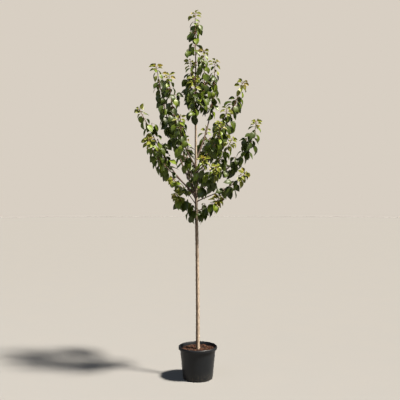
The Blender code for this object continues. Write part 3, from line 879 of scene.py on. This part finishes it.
# %% Model the flat leaf
LEAF_ROWS = (0.0, 0.09, 0.27, 0.48, 0.70, 0.88, 1.0)  # along the blade
LEAF_WIDTHS = (0.12, 0.58, 0.95, 1.0, 0.72, 0.30, 0.03)  # of its full width, at those rows
LEAF_CELLS = (4, 6)  # across and along
LEAF_THICKNESS = 0.0005

across, along = LEAF_CELLS
start_clean()
bpy.ops.mesh.primitive_grid_add(
    x_subdivisions=across, y_subdivisions=along, size=1.0, location=(0, 0.5, 0)
)
flat_leaf = bpy.context.object
flat_leaf.name = "flat_leaf"
bpy.ops.object.transform_apply(location=True, rotation=False, scale=False)
row_of = [round(v.co.y * along) for v in flat_leaf.data.vertices]
set_mode("EDIT")
bpy.ops.mesh.select_mode(type="VERT")
for row, (far, wide) in enumerate(zip(LEAF_ROWS, LEAF_WIDTHS)):
    bpy.ops.mesh.select_all(action="DESELECT")
    set_mode("OBJECT")
    for index, own_row in enumerate(row_of):
        if own_row == row:
            flat_leaf.data.vertices[index].select = True
    set_mode("EDIT")
    bpy.ops.transform.resize(value=(wide, 1, 1), center_override=(0, row / along, 0))
    bpy.ops.transform.translate(value=(0, far - row / along, 0))
set_mode("OBJECT")
for side in ("upper", "under"):  # two empty slots, so that Solidify can mark the underside
    flat_leaf.data.materials.append(None)
thicken = flat_leaf.modifiers.new("thickness", "SOLIDIFY")
thicken.thickness = LEAF_THICKNESS
thicken.offset = -1
thicken.material_offset = 1
bpy.ops.object.modifier_apply(modifier=thicken.name)
print("one leaf has", len(flat_leaf.data.polygons), "faces")

# %% Read the flat leaf, then put it away
leaf_points = np.array([tuple(v.co) for v in flat_leaf.data.vertices])
leaf_faces = [tuple(p.vertices) for p in flat_leaf.data.polygons]
leaf_underside = np.array([p.material_index for p in flat_leaf.data.polygons])
leaf_uv = np.array([tuple(d.uv) for d in flat_leaf.data.uv_layers.active.data])
top_points = np.nonzero(leaf_points[:, 2] > -LEAF_THICKNESS / 2)[0]
place_of = {i: k for k, i in enumerate(top_points.tolist())}
top_faces = [tuple(place_of[i] for i in f) for f in leaf_faces if all(i in place_of for i in f)]
bpy.data.objects.remove(flat_leaf)
print("upper side", len(top_points), "points,", len(top_faces), "faces")

# %% [markdown]
# ## Hanging the leaves
# Old leaves hang from their stalks with the upper side out to the light, and the fresh ones at a shoot's
# end still stand up, small and folded. Each leaf tries a few turns round its stem until its blade is clear
# of all wood and of every other blade. Where none is free, the leaf isn't made, as a real bud would have
# stayed asleep in that crowd.

# %% Where leaves stand along a stem
LEAF_SHARE = 0.70  # leaves stand closer together than in the solids, by this share of the spacing
YOUNG_SIZE = 0.48  # of the last leaf
GROWING_LENGTH = 0.16  # how far below the tip leaves are still growing, and stand closer
GROWING_SHARE = 0.55  # and the most of a short stem that it takes up
GROWING_CROWDING = 0.45
TUFT_CROWDING = 0.80  # and how much closer still the freshest ones stand
FRESH_LENGTH = 0.085  # and how far they keep the pale colour and stand up
SIDE_GROWING = 0.3  # how young the leaves of a side twig are, all along it
FIRST_PLACE = (0.4, 0.8)  # of the spacing, from the foot of the stem
SPACING_SPREAD = (0.8, 1.2)
TURN_SPREAD = (-0.25, 0.25)
SIZE_SPREAD = (0.82, 1.18)


def leaf_places(stem, rng):
    """The distance, turn, size and freshness of each leaf along a stem."""
    main = stem.order == 0
    zone = min(GROWING_LENGTH, GROWING_SHARE * stem.length)
    spacing = stem.spacing * (LEAF_SHARE if main else 1.0)
    turn = rng.uniform(0, 2 * math.pi)
    place = spacing * rng.uniform(*FIRST_PLACE)
    while place < stem.length:
        beyond = stem.length - place
        growing = max(0.0, 1 - beyond / zone) if main else SIDE_GROWING
        fresh = max(0.0, 1 - beyond / FRESH_LENGTH) if stem.growing else 0.0
        size = (1 - (1 - YOUNG_SIZE) * growing) * rng.uniform(*SIZE_SPREAD)
        yield place, turn, size, fresh
        turn += LEAF_TURN + rng.uniform(*TURN_SPREAD)
        crowded = (1 - GROWING_CROWDING * growing) * (1 - TUFT_CROWDING * fresh)
        place += spacing * rng.uniform(*SPACING_SPREAD) * crowded


# %% A leaf's pose
BLADE_LENGTH = 0.069
BLADE_WIDTH = 0.63  # of its length
STALK_LENGTH = 0.023
FACE_LIGHT = Vector((0.20, -0.50, 0.40))  # blades turn their upper sides this way, to the sun
WIDTH_SPREAD = (0.9, 1.1)
STALK_SPREAD = (0.75, 1.25)
LEAF_AHEAD = 0.2  # how much a leaf leans along its stem
LEAF_DROOP = (0.6, 2.1)
LEAF_ROLL = (-0.7, 0.7)
LEAF_FOLD = (0.08, 0.42)
LEAF_CURL = (0.2, 1.6)  # radians from stalk to tip
LEAF_TWIST = (-0.5, 0.5)
LEAF_WAVE = (0.0, 0.06)
WAVE_TURNS = 7  # radians of wave along the edge
WAVE_RISE = 3
FRESH_AHEAD = 0.1  # how much more the freshest leaf leans
FRESH_FOLD = 0.5  # and is folded
FRESH_CALM = 0.5  # and how much less it rolls and curls
STALK_PARTS = (0.65, 0.5)  # of its length: from the stem to its bend, and on to the blade
STALK_AHEAD = 0.55
STALK_LIFT = 0.25


class Leaf:
    """One leaf's stalk and blade."""

    def __init__(self, root, axes, turn, size, fresh, rng):
        ahead, side, other = axes
        calm = 1 - FRESH_CALM * fresh
        out = math.cos(turn) * side + math.sin(turn) * other
        droop = rng.uniform(*LEAF_DROOP) * (1 - fresh)
        self.along = (out + (LEAF_AHEAD + FRESH_AHEAD * fresh) * ahead - droop * UP).normalized()
        across = self.along.cross(out + FACE_LIGHT).normalized()
        roll = rng.uniform(*LEAF_ROLL) * calm
        self.across = (across + roll * self.along.cross(across)).normalized()
        self.normal = self.across.cross(self.along)
        self.length = size * BLADE_LENGTH
        self.width = self.length * BLADE_WIDTH * rng.uniform(*WIDTH_SPREAD)
        self.fold = rng.uniform(*LEAF_FOLD) + FRESH_FOLD * fresh
        self.curl = rng.uniform(*LEAF_CURL) * calm
        self.twist = rng.uniform(*LEAF_TWIST)
        self.wave = rng.uniform(*LEAF_WAVE)
        self.phase = rng.uniform(0, 2 * math.pi)
        self.fresh = fresh
        reach = size * STALK_LENGTH * rng.uniform(*STALK_SPREAD)
        first, rest = STALK_PARTS
        bend = root + first * reach * (out + STALK_AHEAD * ahead + STALK_LIFT * UP).normalized()
        self.base = bend + rest * reach * self.along
        self.stalk = [root, root.lerp(bend, 0.55), bend.lerp(self.base, 0.2), self.base]

    def points(self, flat):
        """Points of the flat leaf, folded, waved, curled, twisted and set on the stalk."""
        x = flat[:, 0] * self.width
        share = flat[:, 1]
        y = share * self.length
        z = flat[:, 2] + np.abs(x) * self.fold
        z = z + self.wave * np.abs(x) * np.sin(WAVE_TURNS * share + self.phase) * WAVE_RISE
        bend = self.curl / self.length
        y, z = (1 / bend + z) * np.sin(bend * y), z * np.cos(bend * y) - (1 - np.cos(bend * y)) / bend
        turn = self.twist * share
        x, z = x * np.cos(turn) - z * np.sin(turn), x * np.sin(turn) + z * np.cos(turn)
        frame_axes = np.array([self.across, self.along, self.normal])
        return np.array(self.base) + np.stack([x, y, z], axis=1) @ frame_axes


# %% Set every leaf
LEAF_TRIES = 9
TURN_STEP = 0.5
WOOD_CLEARANCE = 0.003
OUTLINE_SHARE = 0.66  # how much of its length times its width a blade covers


class Blades:
    """The blades set so far, with their boxes, to find what a new one would touch."""

    def __init__(self):
        self.low, self.high, self.trees = np.zeros((0, 3)), np.zeros((0, 3)), []

    def take(self, points):
        """Adds a blade if it touches no other one, and says whether it did."""
        low, high = points.min(axis=0), points.max(axis=0)
        tree = BVHTree.FromPolygons(points.tolist(), top_faces)
        near = np.nonzero(((self.low < high) & (self.high > low)).all(axis=1))[0]
        if any(self.trees[i].overlap(tree) for i in near):
            return False
        self.low, self.high = np.vstack([self.low, low]), np.vstack([self.high, high])
        self.trees.append(tree)
        return True


def grow_leaves():
    """Tries each place in turn, and returns the leaves that found room."""
    set_leaves, blades = [], Blades()
    upper = leaf_points[top_points]
    for owner, stem in all_stems:
        rng = random.Random(f"leaves of {stem.owner} {stem.line[0].x:.5f} {stem.line[0].z:.5f}")
        for place, turn, size, fresh in leaf_places(stem, rng):
            root, axes = place_on(stem, place)
            for attempt in range(LEAF_TRIES):
                leaf = Leaf(root, axes, turn + TURN_STEP * attempt, size, fresh, rng)
                points = leaf.points(upper)
                fits = room.allows(owner, points[::6]) and room.clear_of_wood(points[1:], WOOD_CLEARANCE)
                if fits and blades.take(points):
                    leaf.owner = owner
                    set_leaves.append(leaf)
                    break
    return set_leaves


leaves = grow_leaves()
leaf_area = sum(OUTLINE_SHARE * leaf.length * leaf.width for leaf in leaves)
print("leaves", len(leaves), "area in square metres", round(leaf_area, 2))

# %% Deal out the leaf colours
LEAF_TONES = ("deep", "middle", "light", "young", "bronze")
DEEP, MIDDLE, LIGHT, YOUNG, BRONZE = range(len(LEAF_TONES))
FRESHEST = 0.55  # above this freshness a leaf is young or bronze
FRESH = 0.1  # and above this one young or light
BRONZE_CHANCE = 0.16
YOUNG_CHANCE = 0.4
USUAL_CHANCE = 0.5  # of a grown leaf to take the usual tone of its spray


def deal_tones():
    """Gives each leaf its tone: by spray first, then a little by chance within it."""
    for owner, name in enumerate(OWNERS):
        rng = random.Random("tone of " + name)
        usual = rng.choice((DEEP, DEEP, MIDDLE, MIDDLE))
        for leaf in (one for one in leaves if one.owner == owner):
            chance = rng.random()
            if leaf.fresh > FRESHEST:
                leaf.tone = BRONZE if chance < BRONZE_CHANCE else YOUNG
            elif leaf.fresh > FRESH:
                leaf.tone = YOUNG if chance < YOUNG_CHANCE else LIGHT
            elif chance < USUAL_CHANCE:
                leaf.tone = usual
            else:
                leaf.tone = rng.choice((DEEP, DEEP, MIDDLE, MIDDLE, LIGHT))


deal_tones()
print("tones", {name: sum(leaf.tone == i for leaf in leaves) for i, name in enumerate(LEAF_TONES)})

# %% Join the blades into one piece
def copies(name, faces, points):
    """One piece of many copies of a small mesh, from its faces and the points of each copy."""
    count = len(points[0])
    all_faces = [tuple(i + count * k for i in face) for k in range(len(points)) for face in faces]
    mesh = bpy.data.meshes.new(name)
    mesh.from_pydata(np.concatenate(points).tolist(), [], all_faces)
    made = bpy.data.objects.new(name, mesh)
    bpy.context.scene.collection.objects.link(made)
    return made


# each tone has an upper material, and after those come a grown and a fresh one for the undersides
blade_piece = copies("leaf_blades", leaf_faces, [leaf.points(leaf_points) for leaf in leaves])
mesh = blade_piece.data
under = [len(LEAF_TONES) + (leaf.tone in (YOUNG, BRONZE)) for leaf in leaves]
slots = [np.where(leaf_underside == 1, below, leaf.tone) for below, leaf in zip(under, leaves)]
mesh.polygons.foreach_set("material_index", np.concatenate(slots).astype(np.int32))
uv = mesh.uv_layers.new(name="blade")
uv.data.foreach_set("uv", np.tile(leaf_uv, (len(leaves), 1)).ravel().astype(np.float32))
mesh.validate()
smooth(blade_piece, 45)
print("blades joined,", len(mesh.polygons), "faces")

# %% Stalks and shoots
STALK_RADIUS = 0.0009
STALK_TAPER = (1.5, 1, 1, 0.7)
SIDE_TWIG_WIDTH = 0.85  # of a main stem's, with the same length to come

stalk_radii = [share * STALK_RADIUS for share in STALK_TAPER]
stalks = limbs_from_lines("leaf_stalks", [(leaf.stalk, stalk_radii) for leaf in leaves], 0)
shoot_lines = []
for owner, stem in all_stems:
    step = stem.length / (len(stem.line) - 1)
    width = 1.0 if stem.order == 0 else SIDE_TWIG_WIDTH
    radii = [width * limb_radius(stem.length - step * i) for i in range(len(stem.line))]
    shoot_lines.append((stem.line, radii))
shoots = limbs_from_lines("young_shoots", shoot_lines, 2)
print("stalk faces", len(stalks.data.polygons), "shoot faces", len(shoots.data.polygons))

# %% Buds in the leaf joints
BUD_LENGTH = 0.0055
BUD_RADIUS = 0.0016
BUD_OFF = 0.0022  # how far its foot is from the middle of the twig
BUD_RISE = 1.1
BUD_TAPER = ((0.0, 0.6), (0.45, 1.0), (1.0, 0.15))  # shares of its length and of its radius there

bud_lines = []
for leaf in leaves:
    out = (leaf.stalk[1] - leaf.stalk[0]).normalized()
    rise = (out + BUD_RISE * UP).normalized()
    start = leaf.stalk[0] + BUD_OFF * out
    line = [start + share * BUD_LENGTH * rise for share, wide in BUD_TAPER]
    bud_lines.append((line, [wide * BUD_RADIUS for share, wide in BUD_TAPER]))
buds = limbs_from_lines("buds", bud_lines, 0)
print("buds", len(bud_lines))

# %% [markdown]
# ### Bark, young wood and leaf
# Bark is a matt, fibrous skin: grey-brown where it is old, redder and smoother where it is young. Its
# colour runs in upright streaks, with paler cross lines of lenticels. The trunk's side away from the sun
# is painted darker, as painted shade. A leaf is a thin green sheet under a waxy skin, so its upper side
# takes a soft broad highlight while its underside is paler and dull.

# %% Bark materials
TINTED = {"data_type": "RGBA", "blend_type": "MULTIPLY"}
PAINTED_SHADE_LIT_SIDE = (1.0, 0.0, 0.0)  # the trunk's side left pale; the opposite side gets a painted shade


def bark_material(name, tones, streak_mm, roughness, leader=None, shade=None):
    """Fibrous bark in three tones, streaked along the stem, with pale lenticels across it. A leader colour
    tints what grew last, and a painted shade colour darkens the side away from the sun."""
    made, tree, shader = new_material(name, Roughness=roughness)
    where = add(tree, "TexCoord")
    place = where.outputs["Object"]
    stretch = add(tree, "Mapping", inputs={"Scale": (1, 1, 0.12)}, links={"Vector": place})
    scale = {"Scale": cells_per_metre(streak_mm), "Detail": 6.0}
    streak = add(tree, "TexNoise", inputs=scale, links={"Vector": stretch})
    tone = add(tree, "ValToRGB", links={"Fac": streak}, stops=zip((0.30, 0.50, 0.72), tones))
    flatten = add(tree, "Mapping", inputs={"Scale": (1, 1, 3.2)}, links={"Vector": place})
    scale = {"Scale": cells_per_metre(9), "Randomness": 1.0}
    pores = add(tree, "TexVoronoi", inputs=scale, links={"Vector": flatten})
    dot = {"From Min": 0.16, "From Max": 0.08, "To Max": 0.75}
    pore = add(tree, "MapRange", inputs=dot, links={"Value": pores})
    colour = add(tree, "Mix", COLOUR_MIX, {SECOND: linear(tones[2])}, {"Factor": pore, FIRST: tone})
    tints = []
    if leader:
        tint, young_from, young_to = leader
        height = add(tree, "SeparateXYZ", links={"Vector": place}).outputs["Z"]
        tints.append((tint, height, young_from, young_to))
    # painted shade: a darker tint multiplied into the side of the trunk away from the sun
    if shade:
        facing = {0: where.outputs["Normal"]}
        lit_side_facing = add(tree, "VectorMath", {"operation": "DOT_PRODUCT"}, {1: PAINTED_SHADE_LIT_SIDE}, facing)
        tints.append((shade, lit_side_facing.outputs["Value"], 0.2, -0.2))
    for tint, value, low, high in tints:
        part = add(tree, "MapRange", inputs={"From Min": low, "From Max": high}, links={"Value": value})
        below = {"Factor": part, FIRST: colour.outputs[MIXED]}
        colour = add(tree, "Mix", TINTED, {SECOND: linear(tint)}, below)
    rough = add(tree, "Math", {"operation": "ADD"}, links={0: streak, 1: pore})
    bump = add(tree, "Bump", inputs={"Strength": 0.5, "Distance": 0.4 * MM}, links={"Height": rough})
    join(tree, shader, {"Base Color": colour.outputs[MIXED], "Normal": bump})
    return made


LEADER_BARK = ("#877362", 1.78, 1.92)  # from one height to the other
# the painted shade colour for the trunk's side away from the sun
PAINTED_SHADE_BARK_TINT = "#b0a192"
for piece, name, tones, streak_mm, roughness, extra in (
    (trunk, "grey_brown_bark_painted_shade", ("#4a3e32", "#8f806f", "#bdaf9c"), 3.0, 0.82, (LEADER_BARK, PAINTED_SHADE_BARK_TINT)),
    (bough_bark, "brown_bough_bark", ("#2b1e17", "#48362b", "#685343"), 2.2, 0.70, ()),
    (shoots, "red_brown_shoot", ("#3f261a", "#583a28", "#73573f"), 2.0, 0.55, ()),
):
    piece.data.materials.append(bark_material(name, tones, streak_mm, roughness, *extra))
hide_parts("trunk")
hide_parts(*BOUGH_NODES)
print("bark on trunk, boughs and shoots")

# %% Stalk and bud materials
def two_tone_material(name, tones, stops, pattern, relief=None, **surface):
    """A surface in two near tones that follow one noise, which also roughens it where it has relief."""
    made, tree, shader = new_material(name, **surface)
    place = add(tree, "TexCoord").outputs["Object"]
    cloud = add(tree, "TexNoise", inputs=pattern, links={"Vector": place})
    tone = add(tree, "ValToRGB", links={"Fac": cloud}, stops=zip(stops, tones))
    join(tree, shader, {"Base Color": tone})
    if relief:
        join(tree, shader, {"Normal": add(tree, "Bump", inputs=relief, links={"Height": cloud})})
    return made


BLUSH = {"Scale": cells_per_metre(45)}
for piece, name, tones, roughness in (
    (stalks, "leaf_stalk_skin", ("#6c432c", "#70732f"), 0.45),
    (buds, "bud_scales", ("#6b3f2c", "#8f6a4a"), 0.60),
):
    piece.data.materials.append(two_tone_material(name, tones, (0.42, 0.62), BLUSH, Roughness=roughness))
print("skin on stalks and buds")

# %% Leaf materials
VEINS = 8  # on each side of the midrib
VEIN_SLANT = 0.7


def leaf_material(name, colour, vein, roughness, relief):
    """A waxy leaf skin in one colour, with a paler midrib and fine side veins pressed into it."""
    made, tree, shader = new_material(name, Roughness=roughness, Specular_IOR_Level=0.32)
    uv = add(tree, "UVMap", {"uv_map": "blade"})
    axes = add(tree, "SeparateXYZ", links={"Vector": uv}).outputs
    centred = add(tree, "Math", {"operation": "SUBTRACT"}, {1: 0.5}, {0: axes["X"]})
    aside = add(tree, "Math", {"operation": "ABSOLUTE"}, links={0: centred})
    rib = add(tree, "MapRange", inputs={"From Min": 0.035, "From Max": 0.012}, links={"Value": aside})
    tint = add(tree, "Math", {"operation": "MULTIPLY"}, {1: 0.55}, {0: rib})
    tone = add(tree, "Mix", COLOUR_MIX, {FIRST: linear(colour), SECOND: linear(vein)}, {"Factor": tint})
    slant = add(tree, "Math", {"operation": "MULTIPLY_ADD"}, {1: -VEIN_SLANT}, {0: aside, 2: axes["Y"]})
    pitch = add(tree, "Math", {"operation": "MULTIPLY"}, {1: 2 * math.pi * VEINS}, {0: slant})
    veins = add(tree, "Math", {"operation": "SINE"}, links={0: pitch})
    total = add(tree, "Math", {"operation": "SUBTRACT"}, links={0: veins, 1: rib})
    bump = add(tree, "Bump", inputs={"Strength": 0.5, "Distance": relief}, links={"Height": total})
    join(tree, shader, {"Base Color": tone.outputs[MIXED], "Normal": bump})
    return made


UPPER_LEAF = (0.43, 0.25 * MM)  # roughness, and the depth of the veins
UNDER_LEAF = (0.62, 0.4 * MM)
for name, colour, vein, finish in (
    ("waxy_leaf_deep", "#2b3802", "#4c5a1e", UPPER_LEAF),
    ("waxy_leaf_middle", "#3c4a04", "#5f6c2a", UPPER_LEAF),
    ("waxy_leaf_light", "#56660f", "#828d3c", UPPER_LEAF),
    ("waxy_leaf_young", "#61661a", "#888c42", UPPER_LEAF),
    ("waxy_leaf_bronze", "#695f1e", "#8a8143", UPPER_LEAF),
    ("dull_underside_grown", "#536122", "#7b8847", UNDER_LEAF),
    ("dull_underside_fresh", "#969c3e", "#a9ad62", UNDER_LEAF),
):
    blade_piece.data.materials.append(leaf_material(name, colour, vein, *finish))
for piece in (blade_piece, stalks, buds, shoots):
    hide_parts(*FOLIAGE_NODES)
for piece in (trunk, bough_bark, shoots, stalks, buds, blade_piece):
    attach(piece, "root")
print("leaf materials", len(blade_piece.data.materials))

# %% [markdown]
# ## Compost
# The pot is filled with bark compost: chips of composted bark from crumbs to pieces the length of a thumb
# nail, dark and damp, with a few pale splinters. The bed is a closed plug with a lumpy top. The chips are
# one small block, cut about and copied over a thousand times with new sizes and turns, because heaps of
# real bark look like nothing else: no bump map casts those small shadows.

# %% The bed
CLEAR = 0.0003
SOIL_SIDES = 72
SOIL_RINGS = 16
SOIL_EDGE_DROP = 0.003
SOIL_LUMP = 0.0035
LUMPS = ((0.045, 0.7, 3.0), (0.009, 0.4, 8.0))  # width, share of the height, layer of the noise


def inside_radius(height):
    """The compost's radius at a height, just clear of the pot's wall."""
    floor_radius, rim = wall_radius(POT_FLOOR) - POT_WALL, POT_WALL_RADIUS - POT_WALL
    return floor_radius + (rim - floor_radius) * (height - POT_FLOOR) / (LIP_EDGE - POT_FLOOR) - 2 * CLEAR


soil_rim = inside_radius(SOIL_TOP)
soil_profile = [(inside_radius(POT_FLOOR + CLEAR), POT_FLOOR + CLEAR), (soil_rim, SOIL_TOP - SOIL_EDGE_DROP)]
soil_profile += [(soil_rim * (1 - i / SOIL_RINGS), SOIL_TOP) for i in range(SOIL_RINGS)]
bed = turn("compost_bed", soil_profile, SOIL_SIDES)


def bed_lift(x, y):
    """How far the compost's top stands above its mean height at a place."""
    return SOIL_LUMP * sum(
        share * noise.noise(Vector((x / width, y / width, layer))) for width, share, layer in LUMPS
    )


for vertex in bed.data.vertices:
    if vertex.co.z > SOIL_TOP - 0.001:
        vertex.co.z += bed_lift(vertex.co.x, vertex.co.y)
smooth(bed, 60)
print("compost bed", len(bed.data.polygons), "faces")

# %% One chip
CORNER_CUT = (0.72, 0.9)
SIDE_CUT = (0.9, 1.1)

start_clean()
bpy.ops.mesh.primitive_cube_add(size=1.0)
block = bpy.context.object
set_mode("EDIT")
bpy.ops.mesh.subdivide(number_cuts=1)
set_mode("OBJECT")
cut_rng = random.Random("chip")
for vertex in block.data.vertices:
    corner = all(abs(c) > 0.4 for c in vertex.co)
    vertex.co *= cut_rng.uniform(*(CORNER_CUT if corner else SIDE_CUT))
chip_points = np.array([tuple(v.co) for v in block.data.vertices])
chip_faces = [tuple(p.vertices) for p in block.data.polygons]
bpy.data.objects.remove(block)
print("one chip has", len(chip_faces), "faces")

# %% Scatter the chips
CHIPS = 1150
CHIP_MIX = (5, 4, 1)  # dark, red and pale ones
CHIP_LENGTH = (0.005, 0.019)
CHIP_FINENESS = 2.2  # the higher this power, the more of the chips are small
CHIP_WIDTH = (0.35, 0.7)  # of its length
CHIP_THICKNESS = (0.16, 0.34)
CHIP_TILT = 0.32
CHIP_RAISED = (0.1, 0.5)  # how high its middle lies over the bed, as a share of its thickness
CHIP_WOBBLE = 0.12
CHIP_ROOM = (0.6, 0.3)  # how far it keeps from the pot and from the trunk, as shares of its length


def scatter_chips():
    """The points and the tone of each chip, lying on the bed at every angle."""
    rng = random.Random("chips")
    shortest, longest = CHIP_LENGTH
    from_pot, from_trunk = CHIP_ROOM
    points, tones = [], []
    while len(points) < CHIPS:
        length = shortest + (longest - shortest) * rng.random() ** CHIP_FINENESS
        away = (soil_rim - from_pot * length) * math.sqrt(rng.random())
        angle = rng.uniform(0, 2 * math.pi)
        if away < TRUNK_BASE_RADIUS + FLARE_EXTRA + from_trunk * length:
            continue
        x, y = away * math.cos(angle), away * math.sin(angle)
        size = Vector((length, length * rng.uniform(*CHIP_WIDTH), length * rng.uniform(*CHIP_THICKNESS)))
        tilt = Vector((rng.gauss(0, CHIP_TILT), rng.gauss(0, CHIP_TILT), 1)).normalized()
        turned = tilt.to_track_quat("Z", "Y").to_matrix().to_4x4()
        spin = rng.uniform(0, 2 * math.pi)
        ahead = turned @ Vector((math.cos(spin), math.sin(spin), 0))
        across = tilt.cross(ahead)
        axes = np.array([ahead * size.x, across * size.y, tilt * size.z])
        height = SOIL_TOP + bed_lift(x, y) + size.z * rng.uniform(*CHIP_RAISED)
        wobble = 1 + CHIP_WOBBLE * np.sin(chip_points[:, [1, 2, 0]] * 5 + angle * 7)
        points.append(np.array((x, y, height)) + (chip_points * wobble) @ axes)
        tones.append(rng.choices(range(len(CHIP_MIX)), CHIP_MIX)[0])
    return points, tones


chip_copies, chip_tones = scatter_chips()
chips = copies("bark_chips", chip_faces, chip_copies)
slots = np.repeat(chip_tones, len(chip_faces)).astype(np.int32)
chips.data.polygons.foreach_set("material_index", slots)
print("chips", CHIPS, "faces", len(chips.data.polygons))

# %% Compost materials
FIBRES = {"Scale": cells_per_metre(2.5), "Detail": 5.0}
SPLIT = {"Strength": 0.6, "Distance": 0.5 * MM}

for piece, name, tones, roughness in (
    (bed, "damp_compost", ("#1a0f08", "#301d11"), 0.9),
    (chips, "dark_bark_chip", ("#180e08", "#2b1a10"), 0.78),
    (chips, "red_bark_chip", ("#2c170d", "#47291a"), 0.78),
    (chips, "pale_bark_chip", ("#3c2718", "#593e29"), 0.78),
):
    damp = {"Roughness": roughness, "Specular_IOR_Level": 0.2}
    piece.data.materials.append(two_tone_material(name, tones, (0.3, 0.7), FIBRES, SPLIT, **damp))
for piece in (bed, chips):
    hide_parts("compost")
    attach(piece, "root")
print("compost materials", len(bed.data.materials) + len(chips.data.materials))

# %% Write the sizes and finish
visual_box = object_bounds()
for name, box in (("solids", cad_box), ("dressed", visual_box)):
    print(name, [[round(v, 4) for v in corner] for corner in box])
